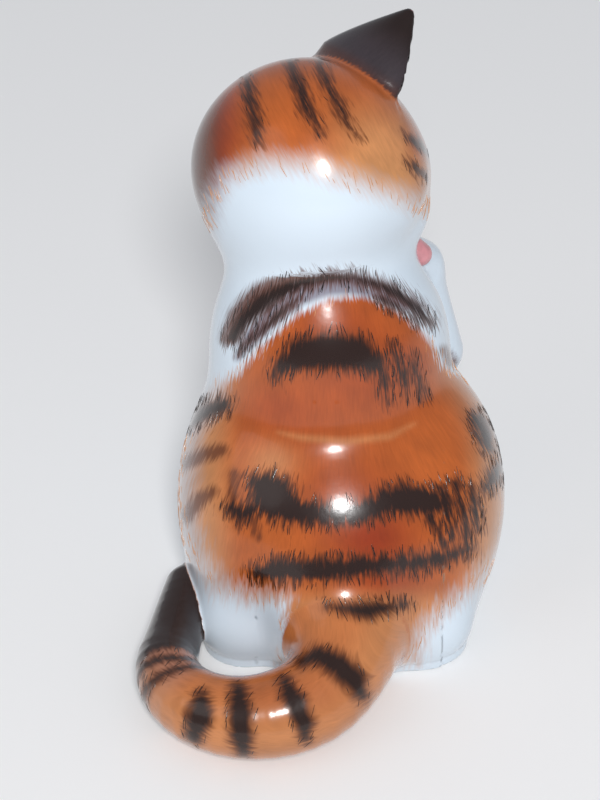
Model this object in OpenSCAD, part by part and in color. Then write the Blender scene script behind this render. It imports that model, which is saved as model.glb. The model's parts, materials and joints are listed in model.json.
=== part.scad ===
// Seated glazed-porcelain kitten licking its raised right forepaw.
// Millimetres. +Z is up, the kitten's chest faces -Y and its left side is +X.
// The origin is the middle of the ground foot face under the body.
// Every casting is a closed skin swept from the same soft-body shape rules,
// and neighbouring castings meet at a thin seam of clay slip.

/* [Body] */
// Width across both haunches
haunch_width = 32.6; // [29:0.2:36]
// Height of the haunches above the ground
haunch_height = 22.6; // [20:0.2:25]
// Length of the haunches from knee to rump
haunch_length = 26; // [23:0.2:28]
// Width across the shoulders
shoulder_width = 21; // [19:0.2:23]
// Height of the top of the shoulders
shoulder_height = 33; // [31:0.2:35]
// Thickness of the neck
neck_width = 15; // [13.6:0.1:15.8]
// Softness of the body where two swellings melt together
body_softness = 1.8; // [1.4:0.1:2.2]

/* [Head] */
// Width of the skull across the cheeks
head_width = 23.2; // [21:0.2:25]
// Height of the skull from chin to crown
head_height = 20; // [18:0.2:22]
// Height of the middle of the head above the ground
head_rise = 43.2; // [41.4:0.2:45]
// How far the middle of the head leans forward of the foot
head_forward = 10.5; // [9:0.2:12]
// How far the middle of the head lies to the kitten's left
head_side = 2; // [1:0.2:3]
// Turn of the nose to the kitten's right
head_turn = 76; // [70:1:82]
// Drop of the nose below level
nose_drop = 32; // [26:1:38]
// Lean of the crown toward the chest side
crown_lean = 56; // [50:1:62]
// How far the muzzle stands out from the middle of the head
muzzle_reach = 9; // [8.4:0.1:9.6]

/* [Ears] */
// Height of an ear from the skull to the tip
ear_height = 7; // [6:0.1:8]
// Width of an ear at its root
ear_width = 9.4; // [8:0.1:10.5]
// Thickness of an ear at its root
ear_thickness = 1.8; // [1.4:0.1:2.2]
// Depth of the hollow in the front of an ear
ear_cup = 1.2; // [0.8:0.1:1.6]
// Angle of an ear's root away from the top of the skull
ear_spread = 42; // [38:1:46]
// Angle of an ear's own lean outwards
ear_splay = 34; // [28:1:38]

/* [Forelegs] */
// Thickness of the raised forearm
forearm_width = 5.6; // [4.8:0.1:6.2]
// Height of the raised elbow
elbow_height = 20; // [19:0.2:22]
// Thickness of the standing foreleg
foreleg_width = 6.6; // [5.8:0.1:7.2]
// Length of the standing paw
paw_length = 9; // [8:0.1:10]

/* [Tail] */
// Thickness of the tail at its root
tail_root_width = 9.4; // [8.4:0.1:10]
// Thickness of the tail near its tip
tail_tip_width = 4; // [3.4:0.1:4.6]
// Radius of the curl of the tail behind the body
tail_curl = 8.5; // [8:0.1:9.4]
// Length of the straight end of the tail along the haunch
tail_end = 12; // [10:0.2:13]
// How far the tip of the tail lies inside the side of the haunch
tail_inset = 2; // [1.4:0.1:2.6]

/* [Casting] */
// Wall of the hollow castings
wall = 1.8; // [1.4:0.1:2.2]
// Thin seam of slip between two castings
slip = 0.15; // [0.12:0.01:0.2]
// Thicker seam of slip where a limb lies along the body
limb_slip = 0.25; // [0.2:0.01:0.3]
// Width of the vent hole in the foot
vent_width = 3; // [2.4:0.1:4]
// How far the vent hole lies in front of the middle of the foot
vent_forward = 4; // [3.6:0.1:4.6]
// Air hole between the hollows of body and head
neck_hole = 4; // [3:0.1:5]

/* [Build] */
// Which casting to draw

/* [Hidden] */
body_sides = 60;
head_sides = 52;
limb_sides = 24;
foreleg_sides = 44;
glaze = [0.97, 0.94, 0.9];
amber = [0.78, 0.45, 0.2];
umber = [0.24, 0.16, 0.13];
rose = [0.9, 0.62, 0.62];

// ---- small vector helpers ----
function unit(v) = v / norm(v);
function part_of(a, b, t) = a + (b - a) * t;
function ease(t) = let(u = max(0, min(1, t))) u * u * (3 - 2 * u);

// ---- shape rules: each gives a distance-like value, negative inside ----
function egg(p, c, r) =
    let(q = [for (i = [0:2]) (p[i] - c[i]) / r[i]], k = max(norm(q), 0.001))
    k * (k - 1) / max(norm([for (i = [0:2]) q[i] / r[i]]), 0.0001);
function bone(p, a, ra, b, rb) =
    let(d = b - a, t = max(0, min(1, ((p - a) * d) / (d * d))))
    norm(p - a - t * d) - (ra + (rb - ra) * t);
function melt(v, k) =
    let(m = min(v), e = [for (x = v) exp((m - x) / k)])
    m - k * ln(e * [for (x = v) 1]);

// ---- body ----
// Depth of the nape over the top of the neck
nape_cover = 3.1;
half = haunch_width / 2;
mid_x = -0.65;
thigh = [7.3, haunch_length / 2 - 1, haunch_height / 2 + 0.7];
thigh_x = half - thigh[0] - 0.4;
foot_x = half * 0.6;
shoulder_x = shoulder_width / 4;
foot_low = 1.2;
function torso_rule(q) =
    let(p = [q[0], q[1], max(q[2], foot_low)])
    melt([
        egg(p, [-0.3, 3.5, haunch_height / 2], [half * 0.74, haunch_length * 0.4, haunch_height / 2 - 0.2]),
        egg(p, [mid_x + thigh_x, -1.5, haunch_height / 2 - 0.8], thigh),
        egg(p, [mid_x - thigh_x, -1.5, haunch_height / 2 - 0.8], thigh),
        bone(p, [foot_x + 0.3, 9.2, 2.6], 2.2, [foot_x + 0.8, 2 - haunch_length / 2, 2.8], 2.2),
        bone(p, [-foot_x - 0.2, 9.2, 2.6], 2.2, [-foot_x, 1 - haunch_length / 2, 2.8], 2.2),
        bone(p, [-8, 9.5, 2.6], 2.6, [8, 9.5, 2.8], 2.6),
        egg(p, [0.9, -3.2, shoulder_height - 10], [shoulder_width * 0.44, 8.4, 12.4]),
        egg(p, [0.5, -8, shoulder_height - 11], [shoulder_width * 0.4, 6, 10]),
        egg(p, [mid_x, -5.5, 8], [half * 0.55, 6.5, 11]),
        egg(p, [mid_x - 1, -5, 2.6], [half * 0.5, 7, 4.4]),
        egg(p, [foot_x + 1, 0.6 - haunch_length / 2, 2.6], [2.6, 3.2, 2.8]),
        egg(p, [-foot_x - 0.4, -haunch_length / 2 - 0.4, 2.6], [2.8, 3.4, 2.8]),
        egg(p, [0.3 + shoulder_x, -6, shoulder_height - 6.5], [5, 5.5, 6.5]),
        egg(p, [0.3 - shoulder_x, -6, shoulder_height - 6.5], [5, 5.5, 6.5]),
        egg(p, [0.4, -3.6, shoulder_height - 3.5], [shoulder_width * 0.34, 5, 5]),
        bone(p, [1.3, -5.5, shoulder_height - 3], neck_width / 2,
            [head_side - 0.1, 2 - head_forward, head_rise - 5], nape[0] - nape_cover)
    ], body_softness);

// ---- head: worked in its own directions right, crown and nose ----
head_mid = [head_side, -head_forward, head_rise];
nose_way = [-sin(head_turn) * cos(nose_drop), -cos(head_turn) * cos(nose_drop), -sin(nose_drop)];
crown_raw = [0, -sin(crown_lean), cos(crown_lean)];
crown_way = unit(crown_raw - (crown_raw * nose_way) * nose_way);
right_way = cross(nose_way, crown_way);
function in_head(p) = let(d = p - head_mid) [d * right_way, d * crown_way, d * nose_way];
function from_head(q) = head_mid + q[0] * right_way + q[1] * crown_way + q[2] * nose_way;
skull = [head_width / 2 - 0.3, head_height / 2 - 0.2, head_width / 2 - 1];
nape = [head_width / 2 - 2, head_height / 2 - 3.4, head_width / 2 - 4];
function head_rule(p) =
    let(q = in_head(p))
    melt([
        egg(q, [-0.4, -0.2, -0.6], skull),
        egg(q, [0.2, -4.2, -0.3], nape),
        egg(q, [head_width * 0.2, -2.2, 3.2], [5, 4.6, 5]),
        egg(q, [-head_width * 0.2, -2.2, 3.2], [5, 4.6, 5]),
        egg(q, [0.4, 1, 5], [head_width * 0.27, 5.6, 6.2]),
        bone(q, [0, 2.4, muzzle_reach - 2.4], 2.6, [0, -0.8, muzzle_reach + 0.6], 1.4),
        egg(q, [1.7, -2.4, muzzle_reach], [2.1, 1.8, 2.1]),
        egg(q, [-1.7, -2.4, muzzle_reach], [2.1, 1.8, 2.1]),
        egg(q, [0, -4.2, muzzle_reach - 1.4], [2.2, 1.5, 2])
    ], 0.9);

// ---- limbs ----
elbow = [-10, -12.2, elbow_height];
wrist = [-7.9, -12.8, head_rise - 13.4];
toes = [-6.9, -12, head_rise - 12.4];
function forearm_rule(p) =
    melt([
        bone(p, elbow, forearm_width / 2, wrist, forearm_width / 2 - 0.4),
        bone(p, wrist, forearm_width / 2 - 0.4, toes, forearm_width / 2 - 0.1)
    ], 0.6);
hip_top = [8, -13.2, shoulder_height - 9];
ankle = [6.8, -16.8, 4];
knee = [8, -14.6, part_of(ankle[2], hip_top[2], 0.45)];
function foreleg_rule(p) =
    melt([
        bone(p, hip_top, foreleg_width / 2 - 0.2, knee, foreleg_width / 2),
        bone(p, knee, foreleg_width / 2, ankle, foreleg_width / 2 - 0.2),
        egg(p, ankle + [0, -1.5, -1.7], [foreleg_width / 2 + 0.4, paw_length / 2, 3])
    ], 1);

// ---- finding the skin of a rule along a straight ray ----
function reach(rule, o, d, near, far, steps) =
    steps == 0 ? (near + far) / 2 :
    let(m = (near + far) / 2)
    rule(o + m * d) < 0
        ? reach(rule, o, d, m, far, steps - 1)
        : reach(rule, o, d, near, m, steps - 1);
function hit(rule, o, d, far) = o + d * reach(rule, o, d, 0, far, 13);

// ---- one closed skin from a stack of rings ----
// ends: "poles" closes both ends to points, "loop" joins the last ring to the first
function ring_faces(a, b, n) = [for (i = [0:n - 1]) each
    [[a + i, b + i, b + (i + 1) % n], [a + i, b + (i + 1) % n, a + (i + 1) % n]]];
module skin_poles(first, rings, last) {
    n = len(rings[0]);
    m = len(rings);
    pts = [first, for (r = rings) each r, last];
    faces = [
        for (i = [0:n - 1]) [0, 1 + i, 1 + (i + 1) % n],
        for (k = [0:m - 2]) each ring_faces(1 + k * n, 1 + (k + 1) * n, n),
        for (i = [0:n - 1]) [1 + m * n, 1 + (m - 1) * n + (i + 1) % n, 1 + (m - 1) * n + i]
    ];
    polyhedron(pts, faces, convexity = 6);
}
module skin_loop(rings) {
    n = len(rings[0]);
    m = len(rings);
    pts = [for (r = rings) each r];
    faces = [for (k = [0:m - 1]) each ring_faces(k * n, ((k + 1) % m) * n, n)];
    polyhedron(pts, faces, convexity = 6);
}

// ---- neck seat: the body's top follows the underside of the head ----
neck_foot = [0.7, -5.5, shoulder_height - 2];
neck_way = unit(neck_foot - head_mid);
seat_x = unit([1, 0, 0] - neck_way[0] * neck_way);
seat_y = cross(seat_x, neck_way);
function seat_dir(tilt, turn) =
    cos(tilt) * neck_way + sin(tilt) * (cos(turn) * seat_x + sin(turn) * seat_y);
function head_skin(tilt, turn, more) =
    let(d = seat_dir(tilt, turn))
    head_mid + d * (reach(function(p) head_rule(p), head_mid, d, 0, 18, 13) + more);
function rim_tilt(turn, low, high, steps) =
    steps == 0 ? (low + high) / 2 :
    let(m = (low + high) / 2)
    torso_rule(head_skin(m, turn, slip)) < 0
        ? rim_tilt(turn, m, high, steps - 1)
        : rim_tilt(turn, low, m, steps - 1);
hole_tilt = asin(neck_hole / 2 / (head_height / 2));

function turns(n) = [for (i = [0:n - 1]) i * 360 / n];
body_turns = turns(body_sides);
rim_tilts = [for (a = body_turns) rim_tilt(a, hole_tilt + 4, 84, 12)];
rim_points = [for (i = [0:body_sides - 1]) head_skin(rim_tilts[i], body_turns[i], slip)];
neck_start = head_skin(0, 0, 3);

function spine(z) = [mid_x * (1 - ease(z / 30)) + 0.6 * ease(z / 30),
    part_of(0.5, -6.5, ease((z - 6) / 26)), z];
level_top = shoulder_height - 7;
levels = 20;
neck_levels = 9;
function flat_way(a) = [cos(a), sin(a), 0];
function body_ring(z, more) =
    [for (a = body_turns) let(d = flat_way(a), o = spine(z))
        o + d * (reach(function(p) torso_rule(p), o, d, 0, 24, 13) - more)];
function neck_ring(t, more) =
    let(o = part_of(spine(level_top), neck_start, t))
    [for (i = [0:body_sides - 1])
        let(g = unit(rim_points[i] - neck_start), d = unit(part_of(flat_way(body_turns[i]), g, ease(t))))
        o + d * (reach(function(p) max(torso_rule(p), slip - head_rule(p)), o, d, 0, 24, 13) - more)];
function seat_ring(f, more) =
    [for (i = [0:body_sides - 1])
        head_skin(part_of(hole_tilt, rim_tilts[i], f), body_turns[i], slip + more)];
function shift_ring(ring, z, inset) =
    let(o = spine(z))
    [for (p = ring) let(d = [p[0] - o[0], p[1] - o[1], 0], r = norm(d))
        [o[0], o[1], z] + d * (r - inset) / r];
function vent_ring(z) = [for (a = body_turns)
    [vent_width / 2 * cos(a), vent_width / 2 * sin(a) - vent_forward, z]];

module torso() {
    foot = body_ring(foot_low, 0);
    outer = [
        for (i = [0:levels]) body_ring(part_of(foot_low, level_top, i / levels), 0),
        for (i = [1:neck_levels]) neck_ring(i / neck_levels, 0)
    ];
    seat = [for (f = [0.85, 0.65, 0.4, 0.15, 0]) seat_ring(f, 0)];
    ceiling = [for (f = [0, 0.25, 0.5]) seat_ring(f, wall)];
    inner_top = [for (i = [neck_levels - 4:-2:1]) neck_ring(i / neck_levels, wall)];
    inner = [for (i = [levels:-2:2]) body_ring(part_of(foot_low, level_top, i / levels), wall)];
    floor_in = shift_ring(inner[len(inner) - 1], wall + 0.6, 1);
    base_in = [for (p = floor_in) [p[0] * 0.5, p[1] * 0.5, wall + 0.6]];
    foot_edge = shift_ring(foot, 0, 0.7);
    foot_mid = [for (p = foot_edge) [p[0] * 0.5, p[1] * 0.5, 0]];
    color(glaze)
    skin_loop(concat([vent_ring(0), foot_mid, foot_edge], outer, seat, ceiling, inner_top, inner,
        [floor_in, base_in, vent_ring(wall + 0.6)]));
}

head_rings = 30;
head_turns = turns(head_sides);
module head() {
    outer = [for (i = [head_rings:-1:1]) [for (a = head_turns)
        head_skin(part_of(180, hole_tilt, i / head_rings), a, 0)]];
    inner = [for (i = [2:2:head_rings]) [for (a = head_turns)
        head_skin(part_of(180, hole_tilt, i / head_rings), a, -wall)]];
    color(glaze)
    skin_poles(head_skin(180, 0, -wall), concat(inner, outer), head_skin(180, 0, 0));
}

// ---- ears: a bowed leaf of clay whose root is cut to the skull ----
ear_rings = 9;
module ear(side) {
    axis_raw = side * sin(ear_splay) * right_way + cos(ear_splay) * crown_way + 0.24 * nose_way;
    axis = unit(axis_raw);
    line_raw = 0.7 * side * right_way - 0.6 * crown_way + 0.5 * nose_way;
    outward = unit(line_raw - (line_raw * axis) * axis);
    across = (cross(axis, outward) * nose_way < 0) ? outward : -outward;
    behind = cross(axis, across);
    root_way = unit(side * sin(ear_spread) * right_way + cos(ear_spread) * crown_way - 0.06 * nose_way);
    root = head_mid + root_way * (reach(function(p) head_rule(p), head_mid, root_way, 0, 18, 13) + 0.4)
        - behind * ear_cup * 0.6;
    function leaf(t, f) = [for (a = turns(limb_sides))
        let(w = ear_width / 2 * (1 - pow(t, 1.25)) + 0.35, x = f * w * cos(a),
            y = f * (ear_thickness * (1 - 0.55 * t) / 2 * sin(a)) + ear_cup * (1 - t) * (1 - pow(x / w, 2)))
        root + axis * (t * ear_height) + across * x + outward * (0.9 * t) + behind * y];
    function seated(p) = p - axis * reach(function(q) slip - head_rule(q), p, -axis, 0, 5, 13);
    tip = root + axis * (ear_height + 0.3) + outward * 0.9;
    heel = root + behind * ear_cup;
    color(umber)
    skin_poles(
        seated(heel),
        concat(
            [for (f = [0.35, 0.7, 1]) [for (p = leaf(0, f)) seated(p)]],
            [for (i = [0:ear_rings]) leaf(0.96 * i / ear_rings, 1)]
        ),
        tip);
}
module left_ear() ear(-1);
module right_ear() ear(1);

// ---- forelegs: level slices through a limb, cut back where the body is ----
function along(path, z) = let(
        i = z < path[1][2] ? 0 : 1,
        t = max(0, min(1, (z - path[i][2]) / (path[i + 1][2] - path[i][2]))))
    [part_of(path[i][0], path[i + 1][0], t), part_of(path[i][1], path[i + 1][1], t), z];
module limb(rule, path, low, high, rings, sides, flat) {
    stops = [for (i = [flat ? 0 : 1:rings]) part_of(low, high, flat
        ? (0.35 * sin(90 * i / (rings + 1)) + 0.65 * i / (rings + 1))
        : (1 - cos(180 * i / (rings + 1))) / 2)];
    skin_poles(
        flat ? along(path, low) : hit(rule, along(path, stops[0]), [0, 0, -1], 6),
        [for (z = stops) let(o = along(path, z)) [for (a = turns(sides)) hit(rule, o, flat_way(a), 9)]],
        hit(rule, along(path, stops[len(stops) - 1]), [0, 0, 1], 6));
}
module raised_foreleg() {
    color(glaze)
    limb(function(p) max(forearm_rule(p), limb_slip - torso_rule(p), slip - head_rule(p)),
        [elbow, wrist, toes], elbow[2] - forearm_width / 2, toes[2] + forearm_width / 2,
        28, foreleg_sides, false);
}
module standing_foreleg() {
    color(glaze)
    limb(function(p) max(foreleg_rule(p), limb_slip - torso_rule(p)),
        [ankle, knee, hip_top], 0, hip_top[2] + foreleg_width / 2, 30, foreleg_sides, true);
}

// ---- tail: rings along a curl that ends straight beside the haunch ----
curl_mid = [tail_curl - 0.9, 15];
curl_from = 176;
curl_length = curl_from * PI / 180 * tail_curl;
tail_length = curl_length + tail_end;
tail_lean = (curl_mid[0] + tail_curl - half + tail_inset) / tail_end;
function tail_radius(s) = part_of(tail_root_width, tail_tip_width, pow(s, 1.15)) / 2;
function tail_flat(s) = let(d = s * tail_length)
    d < curl_length
        ? curl_mid
            + tail_curl * [cos(curl_from * (1 - d / curl_length)), sin(curl_from * (1 - d / curl_length))]
        : curl_mid + [tail_curl - tail_lean * (d - curl_length), curl_length - d];
function tail_at(s) = let(p = tail_flat(s))
    [p[0], p[1], tail_radius(s) + 0.15 + 1.4 * ease((s - 0.7) / 0.3) + 0.8 * ease(1 - s / 0.2)];
module tail() {
    rings = 30;
    up = [0, 0, 1];
    function heading(s) = unit([each (tail_flat(min(s + 0.01, 1)) - tail_flat(max(s - 0.01, 0))), 0]);
    function rounding(s) = s < 0.94 ? 1 : sqrt(max(0.02, 1 - pow((s - 0.94) / 0.06, 2)));
    function keep(p) = max(limb_slip - torso_rule(p), 0.1 - p[2]);
    function tail_ring(s) = let(o = tail_at(s), e = cross(up, heading(s)), r = tail_radius(s) * rounding(s))
        [for (a = turns(limb_sides)) let(d = cos(a) * e + sin(a) * up)
            o + d * reach(function(p) keep(p), o, d, 0, r, 12)];
    function seated(p) =
        p - heading(0) * reach(function(q) limb_slip - torso_rule(q), p, -heading(0), 0, 9, 13);
    stops = [for (i = [0:rings]) 0.99 * i / rings];
    rooted = tail_ring(0);
    last = tail_ring(0.99);
    tip = [for (i = [0:2]) [for (p = last) p[i]] * [for (p = last) 1 / len(last)]];
    middle = tail_at(0);
    color(amber)
    skin_poles(
        seated(middle),
        concat(
            [for (f = [0.35, 0.7, 1]) [for (p = rooted) seated(part_of(middle, p, f))]],
            [for (s = stops) tail_ring(s)]
        ),
        tip + heading(0.99) * 0.1);
}

// ---- tongue: a flat drop of clay between mouth and paw ----
mouth = from_head([0, -3.4, muzzle_reach + 0.6]);
lick = toes + unit([-1.1, 1.6, 2]) * (forearm_width / 2 + 0.4);
tongue_mid = part_of(lick, mouth, 0.2);
module tongue() {
    function flat(a) = [cos(a), sin(a)];
    rule = function(p) max(bone(p, mouth, 1.1, lick, 1.3), limb_slip - head_rule(p),
        limb_slip - forearm_rule(p), limb_slip - torso_rule(p));
    color(rose)
    skin_poles(
        hit(rule, tongue_mid, [0, 0, -1], 4),
        [for (i = [1:11]) let(t = -cos(180 * i / 12))
            [for (a = turns(20)) hit(rule, tongue_mid, [each flat(a) * sqrt(1 - t * t), t], 4)]],
        hit(rule, tongue_mid, [0, 0, 1], 4));
}

torso();
head();
left_ear();
right_ear();
raised_foreleg();
standing_foreleg();
tail();
tongue();
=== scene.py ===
import json
import math
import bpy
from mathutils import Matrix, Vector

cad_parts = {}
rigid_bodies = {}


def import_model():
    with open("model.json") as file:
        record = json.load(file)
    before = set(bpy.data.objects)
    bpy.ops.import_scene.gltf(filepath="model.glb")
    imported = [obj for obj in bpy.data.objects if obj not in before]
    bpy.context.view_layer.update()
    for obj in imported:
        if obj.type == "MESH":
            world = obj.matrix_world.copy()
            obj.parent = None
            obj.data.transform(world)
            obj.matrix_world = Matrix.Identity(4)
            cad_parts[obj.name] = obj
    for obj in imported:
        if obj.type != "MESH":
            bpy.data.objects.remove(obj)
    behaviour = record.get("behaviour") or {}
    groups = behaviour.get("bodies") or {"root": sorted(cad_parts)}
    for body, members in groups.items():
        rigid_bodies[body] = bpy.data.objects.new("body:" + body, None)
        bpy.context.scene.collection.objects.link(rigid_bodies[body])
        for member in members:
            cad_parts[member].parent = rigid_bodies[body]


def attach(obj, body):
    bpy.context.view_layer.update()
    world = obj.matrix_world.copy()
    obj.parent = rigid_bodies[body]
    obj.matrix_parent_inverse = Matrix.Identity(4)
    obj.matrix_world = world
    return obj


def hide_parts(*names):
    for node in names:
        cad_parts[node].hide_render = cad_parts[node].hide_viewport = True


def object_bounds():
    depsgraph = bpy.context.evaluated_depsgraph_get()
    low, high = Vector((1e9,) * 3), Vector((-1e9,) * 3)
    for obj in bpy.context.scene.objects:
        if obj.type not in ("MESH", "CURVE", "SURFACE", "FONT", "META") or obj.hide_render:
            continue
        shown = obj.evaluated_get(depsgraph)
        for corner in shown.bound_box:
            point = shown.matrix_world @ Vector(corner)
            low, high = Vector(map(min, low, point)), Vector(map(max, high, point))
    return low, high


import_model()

from types import SimpleNamespace

import bpy
import numpy as np
from bpy.props import FloatProperty, FloatVectorProperty, IntProperty, PointerProperty

bl_info = {
    "name": "Licking Kitten Figurine",
    "version": (1, 0, 0),
    "blender": (4, 5, 0),
    "location": "View3D > Sidebar > Kitten",
    "description": "A glazed, hand-painted porcelain kitten that licks its raised paw",
    "category": "Add Mesh",
}

CAD_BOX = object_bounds()
MM = 0.001


# ---------------------------------------------------------------- settings
def length(name, mm, text):
    return FloatProperty(
        name=name, description=text, default=mm * MM, min=0, unit="LENGTH", precision=5)


def angle(name, degrees, text):
    return FloatProperty(name=name, description=text, default=math.radians(degrees), unit="ROTATION")


def share(name, value, text):
    return FloatProperty(name=name, description=text, default=value, min=0, max=1, subtype="FACTOR")


def pigment(name, red, green, blue, text):
    """A colour given as it looks, from 0 to 255, and kept as linear light"""
    seen = [v / 255 for v in (red, green, blue)]
    linear = [v / 12.92 if v < 0.0405 else ((v + 0.055) / 1.055) ** 2.4 for v in seen]
    return FloatVectorProperty(
        name=name, description=text, default=linear, size=3, min=0, max=1, subtype="COLOR")


class KittenForm(bpy.types.PropertyGroup):
    """Sizes of the castings"""
    haunch_width: length("Haunch width", 32.6, "Width across both haunches")
    haunch_height: length("Haunch height", 22.6, "Height of the haunches above the ground")
    haunch_length: length("Haunch length", 26, "Length of the haunches from knee to rump")
    shoulder_width: length("Shoulder width", 21, "Width across the shoulders")
    shoulder_height: length("Shoulder height", 33, "Height of the top of the shoulders")
    neck_width: length("Neck width", 15, "Thickness of the neck")
    body_softness: length("Body softness", 1.8, "How softly the swellings of the body melt together")
    head_width: length("Head width", 23.2, "Width of the skull across the cheeks")
    head_height: length("Head height", 20, "Height of the skull from chin to crown")
    head_rise: length("Head rise", 43.2, "Height of the middle of the head above the ground")
    head_forward: length("Head forward", 10.5, "How far the head leans forward of the foot")
    head_side: length("Head side", 2, "How far the head lies to the kitten's left")
    head_turn: angle("Head turn", 76, "Turn of the nose to the kitten's right")
    nose_drop: angle("Nose drop", 32, "Drop of the nose below level")
    crown_lean: angle("Crown lean", 56, "Lean of the crown toward the chest side")
    muzzle_reach: length("Muzzle reach", 9, "How far the muzzle stands out from the middle of the head")
    ear_height: length("Ear height", 7, "Height of an ear from the skull to the tip")
    ear_width: length("Ear width", 9.4, "Width of an ear at its root")
    ear_thickness: length("Ear thickness", 1.8, "Thickness of an ear at its root")
    ear_cup: length("Ear cup", 1.2, "Depth of the hollow in the front of an ear")
    ear_spread: angle("Ear spread", 42, "Angle of an ear's root away from the top of the skull")
    ear_splay: angle("Ear splay", 34, "Angle of an ear's own lean outwards")
    forearm_width: length("Forearm width", 5.6, "Thickness of the raised forearm")
    elbow_height: length("Elbow height", 20, "Height of the raised elbow")
    foreleg_width: length("Foreleg width", 6.6, "Thickness of the standing foreleg")
    paw_length: length("Paw length", 9, "Length of the standing paw")
    tail_root_width: length("Tail root width", 9.4, "Thickness of the tail at its root")
    tail_tip_width: length("Tail tip width", 4, "Thickness of the tail near its tip")
    tail_curl: length("Tail curl", 8.5, "Radius of the curl of the tail behind the body")
    tail_end: length("Tail end", 12, "Length of the straight end of the tail along the haunch")
    tail_inset: length("Tail inset", 2, "How far the tail's tip lies inside the side of the haunch")
    vent_width: length("Vent width", 3, "Width of the vent hole in the foot")
    vent_forward: length("Vent forward", 4, "How far the vent lies in front of the foot's middle")
    toe_groove: length("Toe groove", 0.3, "Depth of the grooves between the toes")
    mesh_step: length("Mesh step", 0.34, "Width of one face of the glazed skin")


class KittenPaint(bpy.types.PropertyGroup):
    """Colours, feathering and gloss of the painted glaze"""
    porcelain: pigment("Porcelain", 222, 235, 246, "Bare white porcelain under the glaze")
    amber: pigment("Amber", 184, 92, 34, "Main colour of the coat")
    russet: pigment("Russet", 150, 50, 12, "Deeper colour in the middle of the back")
    # Tan is thin paint, and also painted sheen where the body turns from view and on its side rims, and
    # the painted reflection along the pale arc of the back
    tan: pigment("Tan", 206, 144, 92, "Thin colour toward the sides")
    umber: pigment("Umber", 30, 13, 8, "Dark stripes and tail tip")
    bistre: pigment("Bistre", 96, 44, 14, "Thin brown at the soft edge of a dark stripe")
    # Lilac grey is painted shade and reflection in the fold under the shoulder fringe and on the left
    # rim of the body; it also tints the backs of the ears and the tail near its tip
    lilac: pigment("Lilac grey", 128, 122, 136, "Soft grey band under the shoulder fringe")
    rose: pigment("Rose", 222, 150, 156, "Tongue, nose and inside of the ears")
    iris: pigment("Iris", 150, 160, 60, "Colour of the eyes")
    clay: pigment("Clay", 205, 198, 188, "Unglazed foot")
    ground: pigment("Ground", 226, 226, 226, "Plain floor")
    feather: length("Feather", 0.9, "How far the brush strands run past the edge of a stripe")
    strand: length("Strand", 0.22, "Width of one brush strand")
    gloss: share("Gloss", 0.9, "Strength of the clear glaze coat")
    stroke_length: length("Stroke length", 0.55, "Half the length of a raised hair stroke")
    stroke_width: length("Stroke width", 0.042, "Half the width of a raised hair stroke")
    stroke_rise: length("Stroke rise", 0.02, "Half the thickness of a raised hair stroke")
    fringe_seed: IntProperty(
        name="Fringe seed", description="Start number of the hair strokes", default=7)


def in_mm(group):
    values = {}
    for key in group.__annotations__:
        prop = group.bl_rna.properties[key]
        value = getattr(group, key)
        values[key] = value / MM if prop.unit == "LENGTH" else value
    return SimpleNamespace(**values)


# ---------------------------------------------------------------- soft shapes
def unit(v):
    v = np.asarray(v, float)
    return v / np.linalg.norm(v)


def ease(low, high, x):
    t = np.clip((x - low) / (high - low), 0, 1)
    return t * t * (3 - 2 * t)


def egg(p, centre, radii):
    q = (p - centre) / radii
    k = np.maximum(np.linalg.norm(q, axis=1), 0.001)
    return k * (k - 1) / np.maximum(np.linalg.norm(q / radii, axis=1), 0.0001)


def bone(p, a, ra, b, rb):
    a = np.asarray(a, float)
    d = np.asarray(b, float) - a
    t = np.clip((p - a) @ d / (d @ d), 0, 1)
    return np.linalg.norm(p - a - t[:, None] * d, axis=1) - (ra + (rb - ra) * t)


def melt(fields, softness):
    low = np.minimum.reduce(fields)
    total = sum(np.exp((low - f) / softness) for f in fields)
    return low - softness * np.log(total)


def carve(field, tool, softness):
    return -melt([-field, tool], softness)


def within(p, low, high, rule, far=7.0):
    """A rule worked out only inside its own box, and far away elsewhere"""
    near = np.all((p > low) & (p < high), axis=1)
    field = np.full(len(p), far)
    if near.any():
        field[near] = rule(p[near])
    return field


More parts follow.
